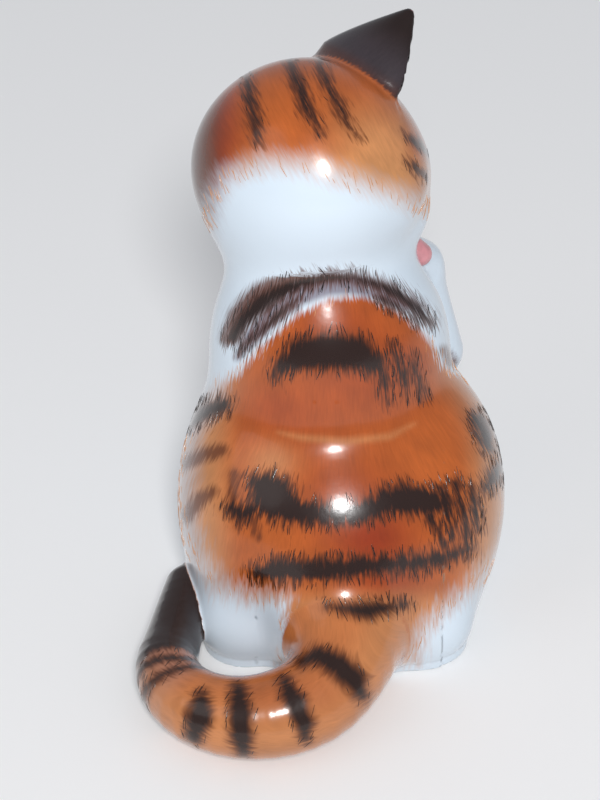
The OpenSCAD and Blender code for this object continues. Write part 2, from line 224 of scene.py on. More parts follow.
class Kitten:
    """The soft-body rules of every casting, in millimetres, negative inside"""

    parts = ("torso", "head", "left_ear", "right_ear", "raised_foreleg", "standing_foreleg", "tail")

    def __init__(self, s):
        self.s = s
        self.half = s.haunch_width / 2
        self.thigh = np.array([7.3, s.haunch_length / 2 - 1, s.haunch_height / 2 + 0.7])
        self.mid = np.array([s.head_side, -s.head_forward, s.head_rise])
        turn, drop, lean = s.head_turn, s.nose_drop, s.crown_lean
        level = math.cos(drop)
        self.nose = -np.array([math.sin(turn) * level, math.cos(turn) * level, math.sin(drop)])
        crown = np.array([0, -math.sin(lean), math.cos(lean)])
        self.crown = unit(crown - (crown @ self.nose) * self.nose)
        self.right = np.cross(self.nose, self.crown)
        self.axes = np.array([self.right, self.crown, self.nose])
        self.elbow = np.array([-10, -12.2, s.elbow_height])
        self.wrist = np.array([-7.9, -12.8, s.head_rise - 13.4])
        self.toes = np.array([-6.9, -12, s.head_rise - 12.4])
        self.hip = np.array([8, -13.2, s.shoulder_height - 9])
        self.ankle = np.array([6.8, -16.8, 4])
        self.knee = np.array([8, -14.6, 0.55 * self.ankle[2] + 0.45 * self.hip[2]])
        self.mouth = self.from_head([0, -3.4, s.muzzle_reach + 0.6])
        self.lick = self.toes + unit([-1.1, 1.6, 2]) * (s.forearm_width / 2 + 0.4)
        self.curl_mid = np.array([s.tail_curl - 0.9, 15])
        self.curl_from = math.radians(176)
        self.curl_length = self.curl_from * s.tail_curl
        self.tail_length = self.curl_length + s.tail_end
        self.tail_lean = (self.curl_mid[0] + s.tail_curl - self.half + s.tail_inset) / s.tail_end

    def in_head(self, p):
        return (p - self.mid) @ self.axes.T

    def from_head(self, q):
        return self.mid + np.asarray(q, float) @ self.axes

    def torso(self, q):
        s, half = self.s, self.half
        p = q.copy()
        p[:, 2] = np.maximum(p[:, 2], 1.2)
        hl, hh = s.haunch_length, s.haunch_height
        sh, sw = s.shoulder_height, s.shoulder_width
        foot, thigh_x, mid = half * 0.6, half - 7.7, -0.65
        return melt([
            egg(p, [-0.3, 3.5, hh / 2], [half * 0.74, hl * 0.4, hh / 2 - 0.2]),
            egg(p, [mid + thigh_x, -1.5, hh / 2 - 0.8], self.thigh),
            egg(p, [mid - thigh_x, -1.5, hh / 2 - 0.8], self.thigh),
            bone(p, [foot + 0.3, 9.2, 2.6], 2.2, [foot + 0.8, 2 - hl / 2, 2.8], 2.2),
            bone(p, [-foot - 0.2, 9.2, 2.6], 2.2, [-foot, 1 - hl / 2, 2.8], 2.2),
            bone(p, [-8, 9.5, 2.6], 2.6, [8, 9.5, 2.8], 2.6),
            egg(p, [0.9, -3.2, sh - 10], [sw * 0.44, 8.4, 12.4]),
            egg(p, [0.5, -8, sh - 11], [sw * 0.4, 6, 10]),
            egg(p, [mid, -5.5, 8], [half * 0.55, 6.5, 11]),
            egg(p, [mid - 1, -5, 2.6], [half * 0.5, 7, 4.4]),
            egg(p, [foot + 1, 0.6 - hl / 2, 2.6], [2.6, 3.2, 2.8]),
            egg(p, [-foot - 0.4, -hl / 2 - 0.4, 2.6], [2.8, 3.4, 2.8]),
            egg(p, [0.3 + sw / 4, -6, sh - 6.5], [5, 5.5, 6.5]),
            egg(p, [0.3 - sw / 4, -6, sh - 6.5], [5, 5.5, 6.5]),
            egg(p, [0.4, -3.6, sh - 3.5], [sw * 0.34, 5, 5]),
            bone(p, [1.3, -5.5, sh - 3], s.neck_width / 2,
                 [s.head_side - 0.1, 2 - s.head_forward, s.head_rise - 5], s.head_width / 2 - 5.1),
        ], s.body_softness)

    def head(self, p):
        return within(p, self.mid - 16, self.mid + 16, self.skull)

    def skull(self, p):
        s, q = self.s, self.in_head(p)
        hw, hh, mr = s.head_width, s.head_height, s.muzzle_reach
        return melt([
            egg(q, [-0.4, -0.2, -0.6], [hw / 2 - 0.3, hh / 2 - 0.2, hw / 2 - 1]),
            egg(q, [0.2, -4.2, -0.3], [hw / 2 - 2, hh / 2 - 3.4, hw / 2 - 4]),
            egg(q, [hw * 0.2, -2.2, 3.2], [5, 4.6, 5]),
            egg(q, [-hw * 0.2, -2.2, 3.2], [5, 4.6, 5]),
            egg(q, [0.4, 1, 5], [hw * 0.27, 5.6, 6.2]),
            bone(q, [0, 2.4, mr - 2.4], 2.6, [0, -0.8, mr + 0.6], 1.4),
            egg(q, [1.7, -2.4, mr], [2.1, 1.8, 2.1]),
            egg(q, [-1.7, -2.4, mr], [2.1, 1.8, 2.1]),
            egg(q, [0, -4.2, mr - 1.4], [2.2, 1.5, 2]),
        ], 0.9)

    def ear_frame(self, side):
        s = self.s
        splayed = side * math.sin(s.ear_splay) * self.right + math.cos(s.ear_splay) * self.crown
        axis = unit(splayed + 0.24 * self.nose)
        line = 0.7 * side * self.right - 0.6 * self.crown + 0.5 * self.nose
        outward = unit(line - (line @ axis) * axis)
        across = outward if np.cross(axis, outward) @ self.nose < 0 else -outward
        behind = np.cross(axis, across)
        spread = side * math.sin(s.ear_spread) * self.right + math.cos(s.ear_spread) * self.crown
        way = unit(spread - 0.06 * self.nose)
        near, far = 0.0, 18.0
        for _ in range(24):
            middle = (near + far) / 2
            if self.skull((self.mid + middle * way)[None])[0] < 0:
                near = middle
            else:
                far = middle
        root = self.mid + way * (near + 0.4) - behind * s.ear_cup * 0.6
        return root, axis, across, behind, outward

    def in_ear(self, p, side):
        """Across, behind and along an ear, with along running from 0 at the root to 1 at the tip"""
        root, axis, across, behind, outward = self.ear_frame(side)
        d = p - root
        t = d @ axis / self.s.ear_height
        d = d - np.clip(t, 0, 1.05)[:, None] * 0.9 * outward
        return d @ across, d @ behind, t

    def ear(self, p, side):
        s = self.s
        x, y, t = self.in_ear(p, side)
        tc = np.clip(t, 0, 1)
        w = s.ear_width / 2 * (1 - tc ** 1.25) + 0.35
        th = s.ear_thickness * (1 - 0.55 * tc) / 2
        bowl = s.ear_cup * (1 - tc) * (1 - np.clip(x / w, -1, 1) ** 2)
        q = np.stack([x / w, (y - bowl) / th], 1)
        k = np.maximum(np.linalg.norm(q, axis=1), 0.001)
        slope = np.maximum(np.linalg.norm(q / np.stack([w, th], 1), axis=1), 0.0001)
        leaf = k * (k - 1) / slope
        top = (t - 1) * s.ear_height
        foot = (-0.3 - t) * s.ear_height
        return -melt([-leaf, -top, -foot], 0.12)

    def left_ear(self, p):
        return within(p, self.mid - 20, self.mid + 20, lambda q: self.ear(q, -1))

    def right_ear(self, p):
        return within(p, self.mid - 20, self.mid + 20, lambda q: self.ear(q, 1))

    def raised_foreleg(self, p):
        w = self.s.forearm_width / 2
        return melt([
            bone(p, self.elbow, w, self.wrist, w - 0.4),
            bone(p, self.wrist, w - 0.4, self.toes, w - 0.1),
        ], 0.6)

    def standing_foreleg(self, p):
        w = self.s.foreleg_width / 2
        return melt([
            bone(p, self.hip, w - 0.2, self.knee, w),
            bone(p, self.knee, w, self.ankle, w - 0.2),
            egg(p, self.ankle + [0, -1.5, -1.7], [w + 0.4, self.s.paw_length / 2, 3]),
        ], 1)

    def tail_radius(self, t):
        s = self.s
        return (s.tail_root_width + (s.tail_tip_width - s.tail_root_width) * t ** 1.15) / 2

    def tail_at(self, t):
        s = self.s
        d = t * self.tail_length
        radius = self.tail_radius(t)
        z = radius + 0.15 + 1.4 * ease(0.7, 1, t) + 0.8 * ease(0.2, 0, t)
        if d < self.curl_length:
            a = self.curl_from * (1 - d / self.curl_length)
            x, y = self.curl_mid + s.tail_curl * np.array([math.cos(a), math.sin(a)])
        else:
            past = d - self.curl_length
            x, y = self.curl_mid + np.array([s.tail_curl - self.tail_lean * past, -past])
        return np.array([x, y, z]), radius

    def tail_chain(self, p):
        """The tail as a chain of bones that starts deep inside the rump"""
        stops = [self.tail_at(t) for t in np.linspace(0, 0.95, 27)]
        start = stops[0][0] - [0, 9, -0.4]
        field = bone(p, start, stops[0][1], stops[0][0], stops[0][1])
        for (a, ra), (b, rb) in zip(stops, stops[1:]):
            field = np.minimum(field, bone(p, a, ra, b, rb))
        return field

    def tail(self, p):
        reach = self.s.tail_curl + self.s.tail_root_width
        low = np.array([self.curl_mid[0] - reach, -8, -2])
        high = np.array([self.curl_mid[0] + reach, 15 + reach, 24])
        return within(p, low, high, self.tail_chain, 40.0)

    def along_tail(self, p):
        """Length along the tail and offset across it, in millimetres"""
        d = p[:, :2] - self.curl_mid
        turn = np.arctan2(d[:, 1], d[:, 0])
        s = self.s
        on_curl = d[:, 1] > 0
        straight = np.where(d[:, 0] > 0, self.curl_length - d[:, 1], d[:, 1])
        along = np.where(on_curl, (self.curl_from - turn) * s.tail_curl, straight)
        across = np.where(on_curl, np.hypot(d[:, 0], d[:, 1]) - s.tail_curl, d[:, 0] - s.tail_curl)
        return along, across

    def toe_grooves(self, p):
        """Shallow grooves between the toes of the paws on the ground"""
        paw = self.ankle + [0, -1.5, -1.7]
        foot, hl = self.half * 0.6, self.s.haunch_length
        sets = (
            (paw[0], paw[1] - 1.4, (-1.5, 0, 1.5)),
            (foot + 1, -0.6 - hl / 2, (-0.8, 0.8)),
            (-foot - 0.4, -1.6 - hl / 2, (-1.2, 0, 1.2)),
        )
        groove = np.zeros(len(p))
        for x, y, steps in sets:
            front = ease(y + 0.8, y - 1, p[:, 1]) * ease(6.5, 4.5, p[:, 2]) * (np.abs(p[:, 0] - x) < 4)
            for step in steps:
                across = p[:, 0] - x - step * (1 + 0.12 * (y - p[:, 1]))
                groove = np.maximum(groove, front * np.exp(-(across / 0.32) ** 2))
        return groove * self.s.toe_groove

    def fields(self, p):
        return [getattr(self, name)(p) for name in self.parts]

    def whole(self, p):
        """All castings run together under the glaze, ground flat at the foot, with the vent hole"""
        torso, head, left_ear, right_ear, forearm, foreleg, tail = self.fields(p)
        field = melt([torso, head], 1.4)
        field = melt([field, left_ear], 0.3)
        field = melt([field, right_ear], 0.3)
        field = melt([field, forearm], 0.3)
        field = melt([field, foreleg], 0.5)
        at_root = ease(9, 1, self.along_tail(p)[0]) * ease(10, 5, p[:, 0])
        field = melt([field, tail], 0.3 + 2.0 * at_root)
        field = field + self.toe_grooves(p)
        field = carve(field, p[:, 2], 0.14)
        vent = np.hypot(p[:, 0], p[:, 1] + self.s.vent_forward) - self.s.vent_width / 2
        hole = np.maximum(vent, p[:, 2] - 2.4)
        return np.maximum(field, -hole)

    def tongue(self, p):
        """A rolled drop of clay from the mouth to the paw, with a groove down its middle"""
        line = unit(self.lick - self.mouth)
        aside = np.linalg.norm(np.cross(p - self.mouth, line), axis=1)
        groove = 0.16 * np.exp(-(aside / 0.3) ** 2)
        return bone(p, self.mouth, 1.0, self.lick, 1.2) + groove


# ---------------------------------------------------------------- skins from rules
def slope(rule, p, f):
    """Steepest way out of a rule's solid at each point, from one small step along each axis"""
    e = 0.02
    return np.stack([(rule(p + e * np.eye(3)[i]) - f) / e for i in range(3)], 1)


def settle(rule, p, limit, rounds):
    """Moves points along the slope of a rule until they lie on its skin"""
    for _ in range(rounds):
        f = rule(p)
        g = slope(rule, p, f)
        move = f[:, None] * g / np.maximum((g * g).sum(1), 0.05)[:, None]
        size = np.linalg.norm(move, axis=1)
        p = p - move * np.minimum(1, limit / np.maximum(size, 1e-9))[:, None]
    return p


def relax(p, quads):
    """Moves points toward the middle of their neighbours, which evens out the faces"""
    total = np.zeros_like(p)
    count = np.zeros(len(p))
    for k in range(4):
        a, b = quads[:, k], quads[:, (k + 1) % 4]
        for axis in range(3):
            total[:, axis] += np.bincount(a, p[b, axis], len(p))
            total[:, axis] += np.bincount(b, p[a, axis], len(p))
        count += np.bincount(a, minlength=len(p)) + np.bincount(b, minlength=len(p))
    return 0.4 * p + 0.6 * total / count[:, None]


def skin_of(rule, low, high, step, block=4):
    """Quads of one face per grid cell that the skin of a rule passes through"""
    low = np.asarray(low, float)
    n = np.ceil((np.asarray(high, float) - low) / step / block).astype(int)
    middles = [low[i] + step * (block * np.arange(n[i]) + (block - 1) / 2) for i in range(3)]
    coarse = np.stack(np.meshgrid(*middles, indexing="ij"), -1).reshape(-1, 3)
    value = rule(coarse).reshape(n)
    field = value.repeat(block, 0).repeat(block, 1).repeat(block, 2)
    near = np.abs(field) < step * block * 1.5 + 0.4
    spots = np.argwhere(near)
    field[near] = rule(low + step * spots)
    inside = field < 0
    width, depth, height = (size - 1 for size in inside.shape)
    corners = sum(
        inside[i:width + i, j:depth + j, k:height + k].astype(np.uint8)
        for i in (0, 1) for j in (0, 1) for k in (0, 1))
    cells = (corners > 0) & (corners < 8)
    number = np.full(cells.shape, -1, np.int64)
    number[cells] = np.arange(cells.sum())
    points = low + step * (np.argwhere(cells) + 0.5)
    quads = []
    for axis in range(3):
        order = (axis, (axis + 1) % 3, (axis + 2) % 3)
        solid, index = inside.transpose(order), number.transpose(order)
        here, there = solid[:-1, 1:-1, 1:-1], solid[1:, 1:-1, 1:-1]
        i, j, k = np.nonzero(here != there)
        around = ((0, 0), (1, 0), (1, 1), (0, 1))
        quad = np.stack([index[i, j + u, k + v] for u, v in around], 1)
        flip = there[i, j, k]
        quad[flip] = quad[flip][:, ::-1]
        quads.append(quad)
    quads = np.concatenate(quads)
    for _ in range(3):
        points = settle(rule, points, step * 0.6, 1)
        points = relax(points, quads)
    points = settle(rule, points, step * 0.5, 3)
    return points, quads


def groups_of(links, count):
    """Number of the joined group that each item belongs to"""
    label = np.arange(count)
    while True:
        low = np.minimum(label[links[:, 0]], label[links[:, 1]])
        new = label.copy()
        np.minimum.at(new, links[:, 0], low)
        np.minimum.at(new, links[:, 1], low)
        new = new[new]
        if (new == label).all():
            return label
        label = new


def face_links(quads):
    """Pairs of faces that share an edge"""
    edges = np.concatenate([quads[:, [k, (k + 1) % 4]] for k in range(4)])
    face = np.tile(np.arange(len(quads)), 4)
    key = np.sort(edges, axis=1)
    order = np.lexsort((key[:, 1], key[:, 0]))
    key, face = key[order], face[order]
    same = (key[1:] == key[:-1]).all(1)
    return np.stack([face[:-1][same], face[1:][same]], 1)


def share_out(kitten, points, quads):
    """Number of the casting that each face of the skin belongs to, without stray specks"""
    fields = kitten.fields(points[quads].mean(1))
    owner = np.argmin(fields, axis=0)
    links = face_links(quads)
    alike = owner[links[:, 0]] == owner[links[:, 1]]
    group = groups_of(links[alike], len(quads))
    for part in range(1, len(kitten.parts)):
        mine = np.flatnonzero(owner == part)
        names, sizes = np.unique(group[mine], return_counts=True)
        owner[mine[group[mine] != names[sizes.argmax()]]] = 0
    return owner


def closed_piece(points, quads):
    """The faces of one casting with its open seams closed by fans inside the body"""
    used, local = np.unique(quads, return_inverse=True)
    faces = local.reshape(quads.shape)
    points = points[used]
    edges = np.concatenate([faces[:, [k, (k + 1) % 4]] for k in range(4)])
    code = edges[:, 0] * len(points) + edges[:, 1]
    back = edges[:, 1] * len(points) + edges[:, 0]
    rim = edges[~np.isin(code, back)]
    loops = groups_of(rim, len(points)) if len(rim) else np.zeros(0, int)
    fans, centres = [], []
    for name in np.unique(loops[rim[:, 0]]) if len(rim) else []:
        mine = rim[loops[rim[:, 0]] == name]
        centre = len(points) + len(centres)
        centres.append(points[mine].reshape(-1, 3).mean(0))
        fans += [(int(b), int(a), centre) for a, b in mine]
    if centres:
        points = np.concatenate([points, centres])
    return points, faces, fans, used


def make_object(name, points, faces, normals=None):
    mesh = bpy.data.meshes.new(name)
    mesh.from_pydata((points * MM).tolist(), [], faces)
    mesh.update()
    mesh.shade_smooth()
    if normals is not None:
        mesh.normals_split_custom_set_from_vertices(normals.tolist())
    obj = bpy.data.objects.new(name, mesh)
    bpy.context.scene.collection.objects.link(obj)
    return obj


def keep_values(obj, name, values, kind="FLOAT"):
    layer = obj.data.attributes.new(name, kind, "POINT")
    key = {"FLOAT": "value", "FLOAT_VECTOR": "vector", "FLOAT_COLOR": "color"}[kind]
    layer.data.foreach_set(key, np.ascontiguousarray(values, np.float32).ravel())


# ---------------------------------------------------------------- painting
# The painter works from behind and above. Every brush mark is (across, up, width) in
# millimetres on the painter's board, which stands square to the line of sight.
SIGHT = np.array([0, math.cos(math.radians(38)), math.sin(math.radians(38))])
BOARD_RIGHT = np.array([-1.0, 0, 0])
BOARD_UP = np.cross(SIGHT, BOARD_RIGHT)
AIM = np.array([0, 0, 25.0])
STAND_OFF = 260.0

STRIPES = {
    "brow": [
        [(-8.5, 29.8, 0.5), (-8.1, 27.6, 1.1), (-7.6, 25.0, 1.1), (-7.3, 23.1, 0.4)],
        [(-4.3, 31.0, 0.8), (-3.7, 29.0, 1.2), (-2.8, 26.8, 1.3), (-2.0, 25.2, 0.9), (-1.3, 23.9, 0.3)],
        [(-1.6, 30.8, 0.6), (-0.9, 29.0, 0.9), (0.3, 26.8, 0.9), (1.2, 25.0, 0.6), (2.2, 23.7, 0.2)],
    ],
    "shoulder": [
        [(-9.7, 4.6, 1.3), (-8.8, 6.1, 1.6), (-7.0, 7.9, 1.9), (-5.2, 8.9, 1.7), (-3.3, 9.7, 1.4),
         (-1.0, 10.2, 1.0), (1.4, 10.3, 0.9), (3.8, 9.7, 1.0), (6.0, 8.7, 1.2), (7.9, 7.2, 1.2),
         (9.1, 5.9, 0.7)],
        [(-9.0, 3.5, 0.5), (-7.0, 5.1, 0.8), (-5.0, 7.0, 0.8), (-3.5, 8.3, 0.4)],
        [(4.1, 8.3, 0.6), (5.4, 7.7, 0.9), (7.0, 6.9, 0.7), (8.2, 5.8, 0.4)],
    ],
    "saddle": [
        [(-5.0, 1.7, 1.7), (-3.3, 2.9, 3.2), (-0.5, 3.2, 3.5), (2.0, 3.0, 3.4), (3.7, 2.1, 2.3)],
        [(3.9, 2.4, 1.4), (4.7, 0.5, 1.1), (5.1, -1.4, 0.5)],
        [(5.6, 3.7, 0.7), (6.4, 1.2, 0.9), (7.0, -0.9, 0.5)],
        [(7.2, 2.8, 0.5), (7.9, 0.7, 0.8), (8.5, -1.2, 0.4)],
        [(-5.6, 1.8, 0.7), (-5.7, 0.7, 0.6)],
    ],
    "upper band": [
        [(-7.2, -9.4, 2.2), (-6.0, -10.6, 4.2), (-4.7, -11.6, 3.4)],
        [(-9.9, -11.7, 1.2), (-8.9, -12.3, 1.6), (-7.9, -11.9, 1.6)],
        [(-4.3, -12.0, 2.5), (-0.5, -12.4, 2.1), (2.9, -12.0, 2.1), (4.8, -11.2, 2.4)],
        [(4.8, -11.0, 2.5), (6.7, -10.9, 3.0), (9.2, -11.1, 2.7), (10.6, -11.4, 1.4)],
        [(10.0, -9.8, 1.0), (10.8, -11.9, 1.2), (11.3, -14.3, 0.7)],
        [(11.5, -9.4, 0.9), (12.3, -12.4, 1.1), (12.7, -15.9, 0.6)],
        [(12.9, -9.8, 0.7), (13.4, -11.9, 0.9), (13.6, -13.8, 0.5)],
        [(9.0, -12.4, 1.2), (10.0, -13.8, 0.9), (10.4, -15.5, 0.5)],
    ],
    "lower band": [
        [(-7.7, -18.0, 1.2), (-5.7, -17.7, 2.2), (-1.4, -17.7, 2.2), (3.3, -17.2, 1.9),
         (8.1, -16.9, 1.7), (11.0, -16.3, 1.3), (12.9, -15.5, 0.8)],
    ],
    "rump": [
        [(-0.8, -21.1, 0.3), (1.0, -21.3, 0.9), (3.1, -21.5, 1.7), (5.2, -21.1, 1.1),
         (7.3, -20.8, 0.3)],
    ],
    "flank": [
        [(-13.8, -3.7, 0.9), (-12.4, -2.6, 1.6), (-10.7, -1.9, 1.6)],
        [(13.6, -3.3, 1.5), (14.4, -4.9, 1.9), (14.7, -6.0, 1.2)],
        [(15.7, -7.9, 1.2), (15.0, -9.0, 1.4), (14.4, -9.8, 0.9)],
    ],
    "tail": [
        [(-3.3, -26.4, 1.0), (-1.6, -25.7, 1.8), (0.3, -26.6, 2.3), (1.8, -28.1, 2.2),
         (2.6, -29.6, 1.2)],
        [(-4.8, -28.2, 1.2), (-4.0, -30.0, 2.1), (-3.0, -32.1, 1.8), (-2.8, -33.6, 0.9)],
        [(-9.2, -29.0, 1.5), (-9.0, -31.4, 2.3), (-8.9, -33.6, 2.1), (-8.7, -35.0, 1.3)],
        [(-12.7, -30.0, 1.7), (-13.0, -31.7, 2.6), (-13.4, -33.4, 1.7)],
    ],
}
# On the sides of the head a mark is (out along the nose, up toward the crown, width)
TEMPLE = [
    [(7.8, 4.0, 0.8), (6.2, 4.9, 1.4), (4.2, 5.4, 1.3), (2.2, 5.3, 0.4)],
    [(8.2, 1.5, 0.9), (7.0, 1.1, 1.4), (5.2, 0.6, 1.1), (3.2, 0.2, 0.4)],
    [(7.4, -1.5, 0.5), (5.6, -2.1, 0.9), (3.6, -2.3, 0.4)],
]
# Over each eye a mark is (out from the middle of the face, up, width)
FOREHEAD = [
    [(1.0, 3.6, 0.3), (1.3, 5.2, 0.8), (1.7, 7.6, 0.4)],
    [(2.7, 3.8, 0.3), (3.3, 5.2, 0.7), (4.2, 7.0, 0.3)],
]
# Pale brown marks that show the coat through them
SMEARS = [
    [(-14.3, -7.5, 1.2), (-12.4, -6.6, 1.4), (-10.8, -6.2, 1.2)],
    [(-14.1, -12.5, 1.4), (-12.9, -11.0, 1.5), (-11.7, -10.2, 1.1)],
    [(10.4, 3.3, 0.9), (11.1, 2.2, 1.1)],
    [(-9.6, -8.6, 1.2), (-9.8, -11.2, 1.0), (-9.2, -13.6, 0.6)],
    [(-7.9, -12.6, 1.4), (-7.4, -14.4, 0.6)],
    [(-10.3, 4.4, 1.4), (-9.3, 6.6, 2.0), (-7.3, 8.6, 2.2), (-5.4, 9.6, 1.9), (-3.3, 10.3, 1.4),
     (0, 10.6, 1.0)],
]
# Outlines of the coloured coat on the head, and on the back and tail, as (across, up)
HEAD_EDGE = [
    (-20, 12), (-12.8, 13.0), (-11.8, 17.6), (-10.4, 20.0), (-6.7, 21.2), (-3.3, 21.0), (1.4, 19.7),
    (6.2, 17.9), (8.1, 17.2), (20, 14), (20, 60), (-20, 60),
]
BACK_EDGE = [
    (-9.2, 1.2), (-6.8, 3.9), (-3.8, 6.6), (-0.5, 8.2), (2.9, 8.5), (6.2, 7.0), (8.6, 4.8), (10.5, 1.6),
    (13.3, 0.4), (20, -2), (20, -14), (15.2, -16.9), (12.9, -19.3), (10.2, -21.4), (8.1, -23.6),
    (7.4, -26.7), (8, -34), (-4.7, -34), (-4.7, -20.6), (-8.1, -20.2), (-11.4, -18.8), (-13.4, -16.4),
    (-15.2, -11), (-14.4, -5.2), (-12.4, -1.4), (-10.6, 0.2),
]
# Painted shade and reflection in the fold under the shoulder fringe, as (across, up, width)
FOLD_SHADE_ARC = [
    (-9.3, 2.6, 0.7), (-8.0, 4.6, 1.7), (-5.8, 6.8, 2.1), (-3.6, 8.5, 2.2), (-0.6, 9.5, 2.3),
    (1.6, 9.6, 2.2), (4.2, 8.9, 1.9), (6.8, 7.6, 1.2),
]
# Pale arc across the waist of the back, as (across, up, width): a painted reflection of the room's
# light
SHEEN_ARC = [(-5.4, -4.5, 0.3), (-3.3, -5.0, 0.7), (1.0, -5.4, 0.9), (5.2, -4.9, 0.7), (7.6, -3.7, 0.3)]
# Where russet deepens the coat of the body: (across, up, radius, strength)
RUSSET_SPOTS = [
    (3.5, -14.6, 4.5, 0.95), (1, -10, 5, 0.5), (4.5, -19.4, 4, 0.7), (-4, -4, 5, 0.35),
    (3, 0, 6, 0.45), (-6, -2, 3, 0.35), (0, 5.5, 6, 0.5), (8, 2, 3, 0.4),
]
# Slant of the fur across the head, in radians
HEAD_SLANT = 0.5
# Depth that stands for bare white glaze, farther from the paint than any bristle reaches
UNPAINTED = -4.0


def on_board(p):
    """Where the line of sight through each point meets the painter's board"""
    d = p - AIM
    depth = STAND_OFF / (STAND_OFF - d @ SIGHT)
    return np.stack([d @ BOARD_RIGHT * depth, d @ BOARD_UP * depth], 1)


def brush_mark(board, mark):
    """Depth inside one tapering brush mark, negative outside it"""
    best = np.full(len(board), -50.0)
    for (ax, ay, aw), (bx, by, bw) in zip(mark, mark[1:]):
        a, d = np.array([ax, ay]), np.array([bx - ax, by - ay])
        t = np.clip((board - a) @ d / (d @ d), 0, 1)
        away = np.linalg.norm(board - a - t[:, None] * d, axis=1)
        best = np.maximum(best, (aw + (bw - aw) * t) / 2 - away)
    return best


def outline_depth(board, outline):
    """Depth inside a closed outline, negative outside it"""
    away = np.full(len(board), 1e9)
    inside = np.zeros(len(board), bool)
    for (ax, ay), (bx, by) in zip(outline, outline[1:] + outline[:1]):
        a, d = np.array([ax, ay], float), np.array([bx - ax, by - ay], float)
        t = np.clip((board - a) @ d / (d @ d), 0, 1)
        away = np.minimum(away, np.linalg.norm(board - a - t[:, None] * d, axis=1))
        if by != ay:
            spans = (board[:, 1] > min(ay, by)) & (board[:, 1] <= max(ay, by))
            inside ^= spans & (board[:, 0] < ax + (board[:, 1] - ay) * (bx - ax) / (by - ay))
    return np.where(inside, away, -away)


def blank_layers(count, colour):
    layers = {key: np.full(count, UNPAINTED) for key in ("amber", "dark", "smear", "grey")}
    layers["feather"] = np.full(count, 0.5)
    layers["soft"] = np.full(count, 0.6)
    layers["coat"] = np.tile(np.array(colour), (count, 1))
    return layers


def tint(layers, colour, weight):
    """Washes a colour over the coat by a weight from 0 to 1"""
    coat = layers["coat"]
    layers["coat"] = coat + (np.array(colour) - coat) * np.clip(weight, 0, 1)[:, None]


def mark_all(layers, key, board, marks, turned=0.0):
    for mark in marks:
        layers[key] = np.maximum(layers[key], brush_mark(board, mark) - 6 * turned)


def spot(board, place, radius, flat=1.3):
    """Soft round spot on the board, 1 in its middle and a little flatter than wide"""
    across, up = board[:, 0] - place[0], (board[:, 1] - place[1]) * flat
    return np.exp(-(across ** 2 + up ** 2) / radius ** 2)


def paint_body(points, board, facing, turned, paint):
    layers = blank_layers(len(board), paint.amber)
    a, b = board[:, 0], board[:, 1]
    chest = 0.7 * (points[:, 1] + 6.5) + 2 * (points[:, 2] - 15).clip(0)
    turned = np.maximum(turned, ease(1, -1.5, chest))
    layers["amber"] = np.minimum(outline_depth(board, BACK_EDGE), 4 - 9 * turned)
    layers["amber"] = np.minimum(layers["amber"], points[:, 2] - 1.8)
    for group in ("shoulder", "saddle", "upper band", "lower band", "rump", "flank"):
        mark_all(layers, "dark", board, STRIPES[group], turned)
    mark_all(layers, "smear", board, SMEARS, turned)
    # Painted shade and reflection in the fold under the shoulder fringe
    mark_all(layers, "grey", board, [FOLD_SHADE_ARC], turned)
    # Painted sheen: the coat turns tan where the body turns away from the line of sight
    tint(layers, paint.tan, 0.8 * ease(0.8, 0.2, facing))
    for x, y, radius, weight in RUSSET_SPOTS:
        tint(layers, paint.russet, weight * spot(board, (x, y), radius))
    # Painted sheen: tan toward the left rim and the lower right rim of the body
    tint(layers, paint.tan, 0.75 * ease(-8.5, -12.5, a) + 0.5 * ease(11.5, 15, a) * ease(-2, -8, b))
    # Painted reflection: the pale tan arc across the waist of the back
    tint(layers, paint.tan, 0.5 * ease(-0.3, 0.5, brush_mark(board, SHEEN_ARC)))
    tint(layers, paint.tan, 0.55 * spot(board, (-6, -7.4), 2.4) + 0.6 * ease(-18.5, -21.5, b))
    # Painted reflection: a grey wash toward the body's left rim
    tint(layers, paint.lilac, 0.3 * ease(-12, -14.5, a))
    layers["feather"] = np.where(b > 3.8, 0.7, 1.0)
    layers["soft"] = 0.5 + 1.3 * ease(0, -3, b) + 0.8 * ease(-8, -12, a)
    layers["soft"] -= 1.2 * spot(board, (-4.7, -23), 3)
    return layers


def fur_way(points, up, on_head):
    """Direction in which the fur is brushed: down the body, and slanting across the head"""
    across = np.where(on_head[:, None], BOARD_RIGHT * -math.sin(HEAD_SLANT), 0 * BOARD_RIGHT)
    way = BOARD_UP + across - 0.25 * np.sign(points[:, :1]) * np.array([1.0, 0, 0]) * ~on_head[:, None]
    way = way - (way * up).sum(1)[:, None] * up
    return way / np.linalg.norm(way, axis=1)[:, None]


